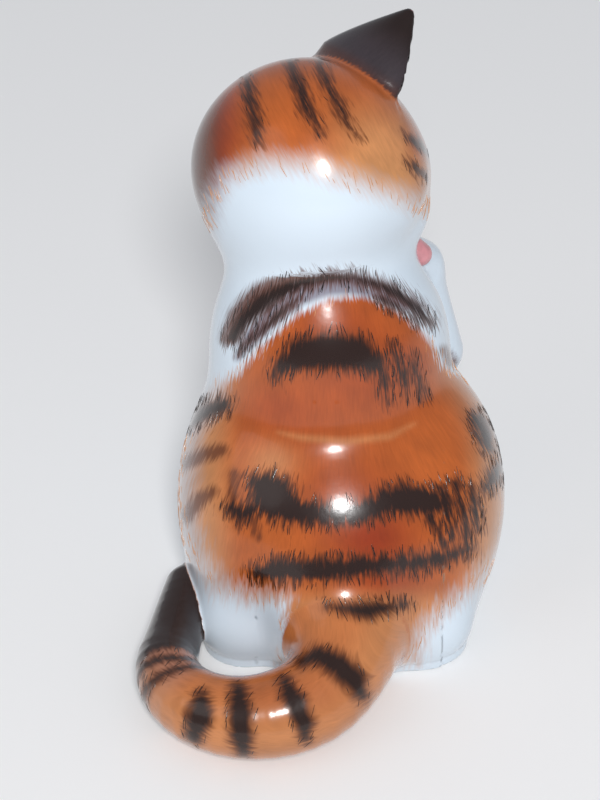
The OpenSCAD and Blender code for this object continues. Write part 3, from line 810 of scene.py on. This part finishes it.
def paint_head(board, q, paint):
    layers = blank_layers(len(board), paint.amber)
    a, b = board[:, 0], board[:, 1]
    chin = np.hypot(q[:, 0], q[:, 1] + 4.4) - 4.6 + 3 * (6.5 - q[:, 2]).clip(0)
    layers["amber"] = np.minimum(outline_depth(board, HEAD_EDGE), chin)
    mark_all(layers, "dark", board, STRIPES["brow"] + STRIPES["shoulder"])
    # Painted shade and reflection in the fold under the shoulder fringe
    mark_all(layers, "grey", board, [FOLD_SHADE_ARC])
    off_sides = 3 * (3.2 - np.abs(q[:, 0])).clip(0)
    for mark in TEMPLE:
        layers["dark"] = np.maximum(layers["dark"], brush_mark(q[:, [2, 1]], mark) - off_sides)
    off_front = 2 * (6.5 - q[:, 2]).clip(0) + 2 * (4 - q[:, 1]).clip(0)
    for mark in FOREHEAD:
        layers["dark"] = np.maximum(layers["dark"], brush_mark(np.abs(q[:, :2]), mark) - off_front)
    # Painted shade: toward the head's left rim the coat deepens through russet and brown to near-black,
    # over the coat's own colour
    tint(layers, paint.russet, 0.9 * ease(-7, -11.5, a) + 0.3 * spot(board, (7, 24), 3))
    tint(layers, paint.bistre, 0.9 * ease(-9.5, -12.5, a))
    tint(layers, paint.umber, 0.45 * ease(-11.8, -13.8, a))
    tint(layers, paint.tan, 0.8 * ease(-3, 4, a) * ease(29, 23, b) * ease(8.5, 6, a))
    tint(layers, paint.tan, 0.8 * ease(23.5, 19.5, b) * ease(-11, -8, a))
    layers["soft"][:] = 2.1
    layers["feather"][:] = 0.65
    return layers


def paint_ear(kitten, points, normals, side, paint):
    x, y, t = kitten.in_ear(points, side)
    layers = blank_layers(len(points), paint.umber)
    layers["amber"][:] = 5
    front = ease(0.0, 0.3, normals @ kitten.nose)
    tint(layers, paint.lilac, 0.14 * ease(0.75, 0.1, t) * (1 - front))
    tint(layers, paint.bistre, 0.6 * ease(0.12, -0.2, t) * (1 - front))
    edge = np.abs(x) / (kitten.s.ear_width / 2 * (1.02 - t).clip(0.1))
    tint(layers, paint.rose, 0.85 * front * ease(1.0, 0.6, edge))
    return layers, np.stack([x, t * 7, y], 1)


def paint_tail(kitten, points, board, turned, paint):
    along, across = kitten.along_tail(points)
    layers = blank_layers(len(points), paint.amber)
    layers["amber"] = outline_depth(board, BACK_EDGE).clip(-2) + 7 * ease(0.5, 4, along)
    mark_all(layers, "dark", board, STRIPES["tail"] + STRIPES["rump"], turned)
    curl = kitten.curl_length
    layers["dark"] = np.maximum(layers["dark"], along - (curl - 1.6))
    for ring, width in ((curl - 3.2, 0.55), (curl - 5.2, 0.45)):
        bent = np.abs(along - ring - 0.35 * across)
        layers["dark"] = np.maximum(layers["dark"], width - bent)
    tint(layers, paint.lilac, 0.4 * ease(curl - 8, curl - 5, along))
    tint(layers, paint.tan, 0.35 + 0.3 * ease(0.5, 4, across))
    tint(layers, paint.russet, 0.3 * spot(board, (-6.5, -30), 3) + 0.3 * spot(board, (-1, -29.5), 3))
    layers["feather"][:] = 0.45
    return layers, np.stack([across + 0.8 * points[:, 2], along, np.zeros(len(along))], 1)


def paint_skin(kitten, points, normals, paint):
    """The painter's layers over the whole skin, running smoothly from casting to casting"""
    board = on_board(points)
    ray = AIM + STAND_OFF * SIGHT - points
    facing = (normals * ray).sum(1) / np.linalg.norm(ray, axis=1)
    turned = ease(0.02, -0.4, facing)
    q = kitten.in_head(points)
    torso, head, left_ear, right_ear, forearm, foreleg, tail = kitten.fields(points)
    whole = paint_body(points, board, facing, turned, paint)
    round_body = np.arctan2(points[:, 0], points[:, 1] + 6) * 14
    whole["brush"] = np.stack([round_body, board[:, 1], 0 * torso], 1)

    def lay(layers, brush, weight):
        for key, value in layers.items():
            w = weight[:, None] if value.ndim > 1 else weight
            low, high = whole[key], value
            if value.ndim == 1:
                low, high = low.clip(UNPAINTED, 5), high.clip(UNPAINTED, 5)
            whole[key] = low + (high - low) * w
        whole["brush"] = np.where(weight[:, None] > 0.5, brush, whole["brush"])

    a, b = board[:, 0], board[:, 1]
    over = a * math.cos(HEAD_SLANT) + b * math.sin(HEAD_SLANT)
    along = b * math.cos(HEAD_SLANT) - a * math.sin(HEAD_SLANT)
    head_brush = np.stack([over, along, 0 * a], 1)
    lay(paint_head(board, q, paint), head_brush, ease(-0.3, 0.3, torso - head))
    body = np.minimum(torso, head)
    for side, ear in ((-1, left_ear), (1, right_ear)):
        lay(*paint_ear(kitten, points, normals, side, paint), ease(-0.1, 0.15, body - ear))
    lay(*paint_tail(kitten, points, board, turned, paint), ease(-0.3, 0.3, body - tail))
    legs = blank_layers(len(points), paint.amber)
    mark_all(legs, "smear", board, SMEARS[2:3])
    lay(legs, points, ease(-0.3, 0.3, body - np.minimum(forearm, foreleg)))
    whole["face"] = q
    return whole


# ---------------------------------------------------------------- materials
class Nodes:
    """Short words for building a node tree"""

    def __init__(self, name):
        self.material = bpy.data.materials.new(name)
        self.material.use_nodes = True
        self.tree = self.material.node_tree
        self.shader = self.tree.nodes["Principled BSDF"]

    def add(self, kind, values=None, **settings):
        node = self.tree.nodes.new(kind)
        for key, value in settings.items():
            setattr(node, key, value)
        for key, value in (values or {}).items():
            self.put(value, node.inputs[key])
        return node

    def put(self, value, socket):
        if isinstance(value, bpy.types.NodeSocket):
            self.tree.links.new(value, socket)
        else:
            socket.default_value = value

    def math(self, operation, a, b=0.0, c=0.0):
        return self.add("ShaderNodeMath", {0: a, 1: b, 2: c}, operation=operation).outputs[0]

    def layer(self, name, kind="Fac"):
        return self.add("ShaderNodeAttribute", attribute_name=name).outputs[kind]

    def ramp(self, value, low, high, top=1.0):
        values = {"Value": value, "From Min": low, "From Max": high, "To Max": top}
        return self.add("ShaderNodeMapRange", values, interpolation_type="SMOOTHSTEP").outputs[0]

    def noise(self, vector, scale, detail=2.0):
        values = {"Vector": vector, "Scale": scale, "Detail": detail}
        return self.add("ShaderNodeTexNoise", values).outputs["Fac"]

    def stretch(self, vector, scale):
        return self.add("ShaderNodeMapping", {"Vector": vector, "Scale": scale}).outputs[0]

    def mix(self, weight, a, b):
        node = self.add("ShaderNodeMix", data_type="RGBA")
        for value, socket in ((weight, node.inputs[0]), (a, node.inputs[6]), (b, node.inputs[7])):
            self.put(value, socket)
        return node.outputs[2]


def rgba(colour, scale=1.0):
    return [min(1, v * scale) for v in colour] + [1.0]


def glaze_finish(n, paint):
    """Clear fired glaze: a smooth coat with a faint ripple"""
    shader = n.shader
    shader.inputs["Roughness"].default_value = 0.26
    shader.inputs["Specular IOR Level"].default_value = 0.35
    shader.inputs["Coat IOR"].default_value = 1.33
    shader.inputs["IOR"].default_value = 1.5
    shader.inputs["Coat Weight"].default_value = paint.gloss
    shader.inputs["Coat Roughness"].default_value = 0.13
    place = n.add("ShaderNodeTexCoord").outputs["Object"]
    fine = n.math("MULTIPLY", n.noise(place, 1500, 2.0), 0.16)
    ripple = n.math("ADD", n.noise(place, 260, 1.0), fine)
    bump = n.add("ShaderNodeBump", {"Strength": 0.09, "Distance": 0.0006, "Height": ripple})
    n.put(bump.outputs[0], shader.inputs["Normal"])
    n.put(bump.outputs[0], shader.inputs["Coat Normal"])


def ellipse(n, right, up, centre, radii):
    x = n.math("DIVIDE", n.math("SUBTRACT", right, centre[0]), radii[0])
    y = n.math("DIVIDE", n.math("SUBTRACT", up, centre[1]), radii[1])
    return n.math("SQRT", n.math("ADD", n.math("MULTIPLY", x, x), n.math("MULTIPLY", y, y)))


def painted_glaze(name, paint, face=False):
    """Porcelain with its painted coat: soft amber, then the grey band of painted shade and reflection,
    then feathered dark strokes
    """
    n = Nodes(name)
    brush = n.layer("brush", "Vector")
    across, along = 0.5 / paint.strand, 0.07 / paint.strand
    strands = n.noise(n.stretch(brush, (across, along, across)), 1.6, 2.0)
    hairs = n.noise(n.stretch(brush, (across * 2.6, along * 1.5, across * 2.6)), 1.6, 1.0)
    wander = n.noise(n.stretch(brush, (0.35, 0.3, 0.35)), 1.0, 1.0)
    raw = n.math("ADD", n.math("MULTIPLY", strands, 0.65), n.math("MULTIPLY", hairs, 0.35))
    pull = n.math("MULTIPLY", n.math("SUBTRACT", raw, 0.5), 5.0 * paint.feather)
    pull = n.math("MULTIPLY", pull, n.layer("feather"))
    streak = n.math("MULTIPLY_ADD", n.math("SUBTRACT", raw, 0.5), 0.55, 1.0)
    streak = n.math("MULTIPLY", streak, n.math("MULTIPLY_ADD", wander, 0.5, 0.75))
    coat = n.layer("coat", "Color")
    shade = n.add("ShaderNodeHueSaturation", {"Color": coat, "Value": streak}).outputs[0]
    soft = n.layer("soft")
    edge = n.math("ADD", n.layer("amber"), n.math("MULTIPLY", pull, 0.8))
    coverage = n.ramp(n.math("DIVIDE", edge, soft), -1.0, 1.0)
    colour = n.mix(coverage, rgba(paint.porcelain), shade)
    # Lilac where the grey band lies: painted shade and reflection in the fold under the shoulder fringe
    colour = n.mix(n.ramp(n.layer("grey"), -0.4, 0.6, 0.9), colour, rgba(paint.lilac))
    faded = n.ramp(n.math("ADD", n.layer("smear"), n.math("MULTIPLY", pull, 0.5)), -0.5, 0.5, 0.85)
    colour = n.mix(faded, colour, rgba(paint.bistre))
    halo = n.ramp(n.math("ADD", n.layer("dark"), n.math("MULTIPLY", pull, 1.4)), -0.9, 0.3, 0.8)
    crisp = n.ramp(n.math("ADD", n.layer("dark"), n.math("MULTIPLY", pull, 0.65)), -0.3, 0.7, 0.96)
    colour = n.mix(halo, colour, rgba(paint.bistre))
    colour = n.mix(crisp, colour, rgba(paint.umber))
    if face:
        # Eyes, nose, mouth and whisker spots, by (right, up, out) from the middle of the head
        parts = n.add("ShaderNodeSeparateXYZ", {"Vector": n.layer("face", "Vector")}).outputs
        right, up, out = parts[0], parts[1], parts[2]
        front = n.ramp(out, 4.0, 5.0)

        mirror = n.math("ABSOLUTE", right)
        tilt = n.math("MULTIPLY_ADD", n.math("SUBTRACT", mirror, 3.3), -0.22, up)
        pupil, glint = (0.01, 0.01, 0.01, 1), (0.9, 0.9, 0.9, 1)
        dabs = (
            (mirror, tilt, (3.3, 1.0), (1.75, 1.15), rgba(paint.umber), 0.12),
            (mirror, tilt, (3.3, 0.95), (1.35, 0.82), rgba(paint.iris), 0.12),
            (mirror, tilt, (3.2, 0.95), (0.42, 0.78), pupil, 0.12),
            (mirror, up, (3.6, 1.3), (0.22, 0.2), glint, 0.3),
            (right, up, (0, -0.6), (0.95, 0.6), rgba(paint.rose), 0.12),
        )
        for x, y, middle, radii, paint_colour, blur in dabs:
            inside = n.ramp(ellipse(n, x, y, middle, radii), 1.0 + blur, 1.0 - blur)
            colour = n.mix(n.math("MULTIPLY", inside, front), colour, paint_colour)
        lip = ellipse(n, mirror, up, (1.25, -2.0), (1.25, 0.95))
        smile = n.math("ABSOLUTE", n.math("SUBTRACT", lip, 1.0))
        below = n.ramp(up, -1.9, -2.2)
        weight = n.math("MULTIPLY", n.math("MULTIPLY", n.ramp(smile, 0.14, 0.04), below), front)
        colour = n.mix(weight, colour, rgba(paint.umber, 2.0))
        cells = n.add("ShaderNodeTexVoronoi", {"Vector": n.layer("face", "Vector"), "Scale": 1.3})
        spots = cells.outputs["Distance"]
        pad = n.ramp(ellipse(n, mirror, up, (1.9, -2.2), (1.2, 0.8)), 1.0, 0.8)
        weight = n.math("MULTIPLY", n.math("MULTIPLY", n.ramp(spots, 0.14, 0.1), pad), front)
        colour = n.mix(weight, colour, rgba(paint.umber, 2.0))
    n.put(colour, n.shader.inputs["Base Color"])
    glaze_finish(n, paint)
    return n.material


def tongue_glaze(paint):
    n = Nodes("tongue_glaze")
    place = n.add("ShaderNodeTexCoord").outputs["Object"]
    mottle = n.noise(place, 1200, 2.0)
    colour = n.mix(n.ramp(mottle, 0.3, 0.7), rgba(paint.rose), rgba(paint.rose, 0.86))
    n.put(colour, n.shader.inputs["Base Color"])
    glaze_finish(n, paint)
    return n.material


def bare_clay(paint):
    n = Nodes("bare_clay")
    place = n.add("ShaderNodeTexCoord").outputs["Object"]
    grit = n.noise(place, 2600, 4.0)
    colour = n.mix(n.ramp(grit, 0.35, 0.7), rgba(paint.clay), rgba(paint.clay, 0.86))
    n.put(colour, n.shader.inputs["Base Color"])
    n.shader.inputs["Roughness"].default_value = 0.85
    bump = n.add("ShaderNodeBump", {"Strength": 0.3, "Distance": 0.0001, "Height": grit})
    n.put(bump.outputs[0], n.shader.inputs["Normal"])
    return n.material


# ---------------------------------------------------------------- operators
def settings(context):
    return in_mm(context.scene.kitten_form), in_mm(context.scene.kitten_paint)


class KITTEN_OT_glazed_skin(bpy.types.Operator):
    """Make every casting of the body under one continuous glazed skin and paint it"""
    bl_idname = "kitten.glazed_skin"
    bl_label = "Glazed skin"

    def execute(self, context):
        form, paint = settings(context)
        kitten = Kitten(form)
        low, high = (np.array(list(corner)) / MM for corner in CAD_BOX)
        margin = 3 * form.mesh_step
        low[2] = 0.06 - margin
        points, quads = skin_of(kitten.whole, low - [margin, margin, 0], high + margin, form.mesh_step)
        normals = slope(kitten.whole, points, kitten.whole(points))
        normals /= np.maximum(np.linalg.norm(normals, axis=1), 1e-9)[:, None]
        points = np.clip(points, low * [1, 1, 0], high)
        owner = share_out(kitten, points, quads)
        layers = paint_skin(kitten, points, normals, paint)
        coat = painted_glaze("painted_glaze", paint)
        face = painted_glaze("face_glaze", paint, True)
        clay = bare_clay(paint)
        for number, name in enumerate(kitten.parts):
            spots, faces, fans, used = closed_piece(points, quads[owner == number])
            extra = len(spots) - len(used)
            bent = np.concatenate([normals[used], np.tile([0.0, 0, 1.0], (extra, 1))])
            obj = make_object("glazed_" + name, spots, faces.tolist() + fans, bent)
            for key, value in layers.items():
                own = np.concatenate([value[used], np.repeat(value[used][:1], extra, 0)])
                if key == "coat":
                    own = np.concatenate([own, np.ones((len(own), 1))], 1)
                kind = "FLOAT_COLOR" if key == "coat" else "FLOAT_VECTOR" if own.ndim > 1 else "FLOAT"
                keep_values(obj, key, own, kind)
            obj.data.materials.append(face if name == "head" else coat)
            obj.data.materials.append(clay)
            height = spots[faces][:, :, 2].max(1)
            bare = np.concatenate([(height < 0.03).astype(np.int32), np.zeros(len(fans), np.int32)])
            obj.data.polygons.foreach_set("material_index", bare)
            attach(obj, "root")
            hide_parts(name)
        return {"FINISHED"}


def stroke_tree():
    """Node tree that lays one small drop of enamel on every point, along the brushing of the fur"""
    tree = bpy.data.node_groups.new("Hair strokes", "GeometryNodeTree")
    sockets = {}
    for name, kind in (("Points", "Geometry"), ("Length", "Float"), ("Width", "Float"),
                       ("Thickness", "Float"), ("Seed", "Int"), ("Material", "Material")):
        made = tree.interface.new_socket(name, in_out="INPUT", socket_type="NodeSocket" + kind)
        sockets[name] = made.identifier
    tree.interface.new_socket("Strokes", in_out="OUTPUT", socket_type="NodeSocketGeometry")

    def add(kind, values=None, **settings):
        node = tree.nodes.new(kind)
        for key, value in settings.items():
            setattr(node, key, value)
        for key, value in (values or {}).items():
            if isinstance(value, bpy.types.NodeSocket):
                tree.links.new(value, node.inputs[key])
            else:
                node.inputs[key].default_value = value
        return node

    given = add("NodeGroupInput").outputs
    drop = add("GeometryNodeMeshUVSphere", {"Segments": 6, "Rings": 7, "Radius": 1.0}).outputs[0]
    place = add("ShaderNodeSeparateXYZ", {0: add("GeometryNodeInputPosition").outputs[0]}).outputs["Z"]
    rise = add("ShaderNodeMath", {0: place, 1: given["Thickness"]}, operation="MULTIPLY").outputs[0]
    marked = add("GeometryNodeStoreNamedAttribute", {"Geometry": drop, "Name": "rise", "Value": rise},
                 data_type="FLOAT", domain="POINT").outputs[0]
    size = add("ShaderNodeCombineXYZ", {0: given["Width"], 1: given["Length"], 2: given["Thickness"]})
    stroke = add("GeometryNodeTransform", {"Geometry": marked, "Scale": size.outputs[0]}).outputs[0]
    up = add("GeometryNodeInputNamedAttribute", {"Name": "up"}, data_type="FLOAT_VECTOR").outputs[0]
    way = add("GeometryNodeInputNamedAttribute", {"Name": "way"}, data_type="FLOAT_VECTOR").outputs[0]
    turn = add("FunctionNodeAxesToRotation", {0: up, 1: way},
               primary_axis="Z", secondary_axis="Y").outputs[0]
    stray = add("FunctionNodeRandomValue", {"Min": -0.22, "Max": 0.22, "Seed": given["Seed"]},
                data_type="FLOAT")
    stray_angle = next(o for o in stray.outputs if o.enabled)
    twist = add("FunctionNodeAxisAngleToRotation", {"Axis": (0, 0, 1), "Angle": stray_angle}).outputs[0]
    turn = add("FunctionNodeRotateRotation", {0: turn, 1: twist}, rotation_space="LOCAL").outputs[0]
    spread = add("FunctionNodeRandomValue", {"Seed": given["Seed"]}, data_type="FLOAT_VECTOR")
    low, high = [i for i in spread.inputs if i.enabled and i.name in ("Min", "Max")]
    low.default_value, high.default_value = (0.7, 0.5, 1), (1.3, 1.5, 1)
    scale = next(o for o in spread.outputs if o.enabled)
    strokes = add("GeometryNodeInstanceOnPoints", {
        "Points": given["Points"], "Instance": stroke, "Rotation": turn, "Scale": scale}).outputs[0]
    real = add("GeometryNodeRealizeInstances", {0: strokes}).outputs[0]
    final = add("GeometryNodeSetMaterial", {"Geometry": real, "Material": given["Material"]}).outputs[0]
    add("NodeGroupOutput", {0: final})
    return tree, sockets


def enamel(name, colour, paint):
    n = Nodes(name)
    n.shader.inputs["Base Color"].default_value = rgba(colour)
    glaze_finish(n, paint)
    return n.material


class KITTEN_OT_hair_strokes(bpy.types.Operator):
    """Lay fine raised enamel hair strokes along the edges of the painted patches"""
    bl_idname = "kitten.hair_strokes"
    bl_label = "Hair strokes"

    def execute(self, context):
        form, paint = settings(context)
        kitten = Kitten(form)
        low, high = (np.array(list(corner)) / MM for corner in CAD_BOX)
        tree, sockets = stroke_tree()
        inks = {
            "dark": enamel("umber_enamel", paint.umber, paint),
            "amber": enamel("tan_enamel", paint.tan, paint),
        }
        # Casting, paint, the depths inside its edge between which strokes lie, and how many
        sets = (
            ("torso", "dark", -0.55, 0.0, 620),
            ("head", "dark", -0.4, 0.0, 90),
            ("tail", "dark", -0.35, 0.0, 120),
            ("torso", "amber", -0.6, 0.6, 240),
            ("head", "amber", -0.9, 0.6, 170),
        )
        for name, layer, least, most, count in sets:
            mesh = bpy.data.objects["glazed_" + name].data
            points, up = np.empty(3 * len(mesh.vertices)), np.empty(3 * len(mesh.vertices))
            mesh.vertices.foreach_get("co", points)
            mesh.vertices.foreach_get("normal", up)
            points, up = points.reshape(-1, 3) / MM, up.reshape(-1, 3)
            values = {key: np.empty(len(points)) for key in ("dark", "amber")}
            for key, value in values.items():
                mesh.attributes[key].data.foreach_get("value", value)
            fits = (values[layer] > least) & (values[layer] < most) & (points[:, 2] > 2)
            if layer == "amber":
                fits &= values["dark"] < -0.9
            fits &= np.abs(kitten.whole(points)) < 0.1
            random = np.random.default_rng(paint.fringe_seed + count)
            chosen = random.permutation(np.flatnonzero(fits))[:count]
            points, up = points[chosen], up[chosen]
            guide = make_object("guide", points, [])
            keep_values(guide, "up", up, "FLOAT_VECTOR")
            fur = fur_way(points, up, np.full(len(points), name == "head"))
            keep_values(guide, "way", fur, "FLOAT_VECTOR")
            modifier = guide.modifiers.new("strokes", "NODES")
            modifier.node_group = tree
            modifier[sockets["Length"]] = paint.stroke_length * MM
            modifier[sockets["Width"]] = paint.stroke_width * MM * (1.0 if layer == "dark" else 0.7)
            modifier[sockets["Thickness"]] = paint.stroke_rise * MM
            modifier[sockets["Seed"]] = paint.fringe_seed
            modifier[sockets["Material"]] = inks[layer]
            evaluated = guide.evaluated_get(context.evaluated_depsgraph_get())
            made = bpy.data.meshes.new_from_object(evaluated)
            bpy.data.objects.remove(guide)
            spots, rise = np.empty(3 * len(made.vertices)), np.empty(len(made.vertices))
            made.vertices.foreach_get("co", spots)
            made.attributes["rise"].data.foreach_get("value", rise)
            level = rise / MM + 0.3 * paint.stroke_rise
            spots = spots.reshape(-1, 3) / MM
            # Bend every drop onto the skin, each of its points at its own height above it
            for _ in range(3):
                field = kitten.whole(spots)
                way = slope(kitten.whole, spots, field)
                spots = spots - ((field - level) / np.maximum((way * way).sum(1), 0.2))[:, None] * way
            made.vertices.foreach_set("co", (np.clip(spots, low, high) * MM).ravel())
            made.update()
            obj = bpy.data.objects.new(f"{layer}_hairs_{name}", made)
            context.scene.collection.objects.link(obj)
            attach(obj, "root")
            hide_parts(name)
        return {"FINISHED"}


class KITTEN_OT_tongue(bpy.types.Operator):
    """Make the rolled drop of clay that is the tongue on the raised paw"""
    bl_idname = "kitten.tongue"
    bl_label = "Tongue"

    def execute(self, context):
        form, paint = settings(context)
        kitten = Kitten(form)
        low = np.minimum(kitten.mouth, kitten.lick) - 2
        high = np.maximum(kitten.mouth, kitten.lick) + 2
        points, quads = skin_of(kitten.tongue, low, high, 0.16)
        normals = slope(kitten.tongue, points, kitten.tongue(points))
        obj = make_object("tongue_drop", points, quads.tolist(), normals)
        obj.data.materials.append(tongue_glaze(paint))
        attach(obj, "root")
        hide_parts("tongue")
        return {"FINISHED"}


# Metres, and the share of its own colour that the floor adds where it is looked at
FLOOR_WIDTH = 3.0
FLOOR_GLOW = 0.22


def area_lamp(name, place, aim, size, power):
    data = bpy.data.lights.new(name, "AREA")
    data.shape = "DISK"
    data.size = size
    data.energy = power
    lamp = bpy.data.objects.new(name, data)
    lamp.location = place
    way = np.array(aim, float) - np.array(place, float)
    lamp.rotation_euler = vector_turn(way)
    bpy.context.scene.collection.objects.link(lamp)
    return lamp


def vector_turn(way):
    """Turn that points a lamp or a camera along a way"""
    flat = math.hypot(way[0], way[1])
    return (math.atan2(flat, -way[2]), 0, math.atan2(way[1], way[0]) - math.pi / 2)


class KITTEN_OT_stage(bpy.types.Operator):
    """Set the plain floor, the soft lamps, the pale surroundings and the camera"""
    bl_idname = "kitten.stage"
    bl_label = "Stage"

    def execute(self, context):
        paint = settings(context)[1]
        scene = context.scene
        half, ground = FLOOR_WIDTH / 2, CAD_BOX[0][2]
        around = ((-1, -1), (1, -1), (1, 1), (-1, 1))
        corners = np.array([(x * half, y * half, ground) for x, y in around]) / MM
        floor = make_object("floor", corners, [(0, 1, 2, 3)])
        n = Nodes("floor_paper")
        seen = n.add("ShaderNodeLightPath").outputs
        shown = n.math("MAXIMUM", seen["Is Camera Ray"], seen["Is Glossy Ray"])
        n.put(rgba(paint.ground), n.shader.inputs["Base Color"])
        n.shader.inputs["Roughness"].default_value = 0.9
        n.shader.inputs["Specular IOR Level"].default_value = 0.1
        n.put(rgba(paint.ground), n.shader.inputs["Emission Color"])
        n.put(n.math("MULTIPLY", shown, FLOOR_GLOW), n.shader.inputs["Emission Strength"])
        floor.data.materials.append(n.material)

        world = bpy.data.worlds.new("pale_room")
        world.use_nodes = True
        tree = world.node_tree
        back = tree.nodes["Background"]
        back.inputs["Color"].default_value = (0.9, 0.93, 1.0, 1)
        back.inputs["Strength"].default_value = 0.38
        wall = tree.nodes.new("ShaderNodeBackground")
        wall.inputs["Color"].default_value = rgba(paint.ground)
        pick = tree.nodes.new("ShaderNodeMixShader")
        path = tree.nodes.new("ShaderNodeLightPath")
        tree.links.new(path.outputs["Is Camera Ray"], pick.inputs[0])
        tree.links.new(back.outputs[0], pick.inputs[1])
        tree.links.new(wall.outputs[0], pick.inputs[2])
        tree.links.new(pick.outputs[0], tree.nodes["World Output"].inputs[0])
        scene.world = world

        aim = AIM * MM
        beside = SIGHT * 0.5 + BOARD_UP * 0.045 + BOARD_RIGHT * 0.03 + [0, 0, 0.02]
        area_lamp("key", tuple(beside), aim, 0.1, 1.62)
        above = BOARD_RIGHT * -0.5 + SIGHT * 0.35 + np.array([0, 0, 0.25])
        area_lamp("fill", tuple(above), aim, 0.45, 0.35)

        data = bpy.data.cameras.new("camera")
        data.sensor_width = 36
        data.lens = 122.85
        data.shift_x = -0.04375
        data.shift_y = -0.01875
        data.clip_start = 0.01
        camera = bpy.data.objects.new("camera", data)
        camera.location = (AIM + STAND_OFF * SIGHT) * MM
        camera.rotation_euler = vector_turn(-SIGHT)
        scene.collection.objects.link(camera)
        scene.camera = camera
        scene.view_settings.view_transform = "Standard"
        return {"FINISHED"}


class KITTEN_PT_panel(bpy.types.Panel):
    """Buttons that make the kitten piece by piece"""
    bl_label = "Licking Kitten"
    bl_idname = "KITTEN_PT_panel"
    bl_space_type = "VIEW_3D"
    bl_region_type = "UI"
    bl_category = "Kitten"

    def draw(self, context):
        for operator in OPERATORS:
            self.layout.operator(operator.bl_idname)
        for group in (context.scene.kitten_form, context.scene.kitten_paint):
            column = self.layout.column()
            for key in group.__annotations__:
                column.prop(group, key)


OPERATORS = (KITTEN_OT_glazed_skin, KITTEN_OT_hair_strokes, KITTEN_OT_tongue, KITTEN_OT_stage)
CLASSES = (KittenForm, KittenPaint) + OPERATORS + (KITTEN_PT_panel,)


def register():
    for cls in CLASSES:
        bpy.utils.register_class(cls)
    bpy.types.Scene.kitten_form = PointerProperty(type=KittenForm)
    bpy.types.Scene.kitten_paint = PointerProperty(type=KittenPaint)


def unregister():
    del bpy.types.Scene.kitten_paint
    del bpy.types.Scene.kitten_form
    for cls in reversed(CLASSES):
        bpy.utils.unregister_class(cls)


def main():
    register()
    bpy.ops.kitten.glazed_skin()
    bpy.ops.kitten.hair_strokes()
    bpy.ops.kitten.tongue()
    bpy.ops.kitten.stage()


if __name__ == "__main__":
    main()
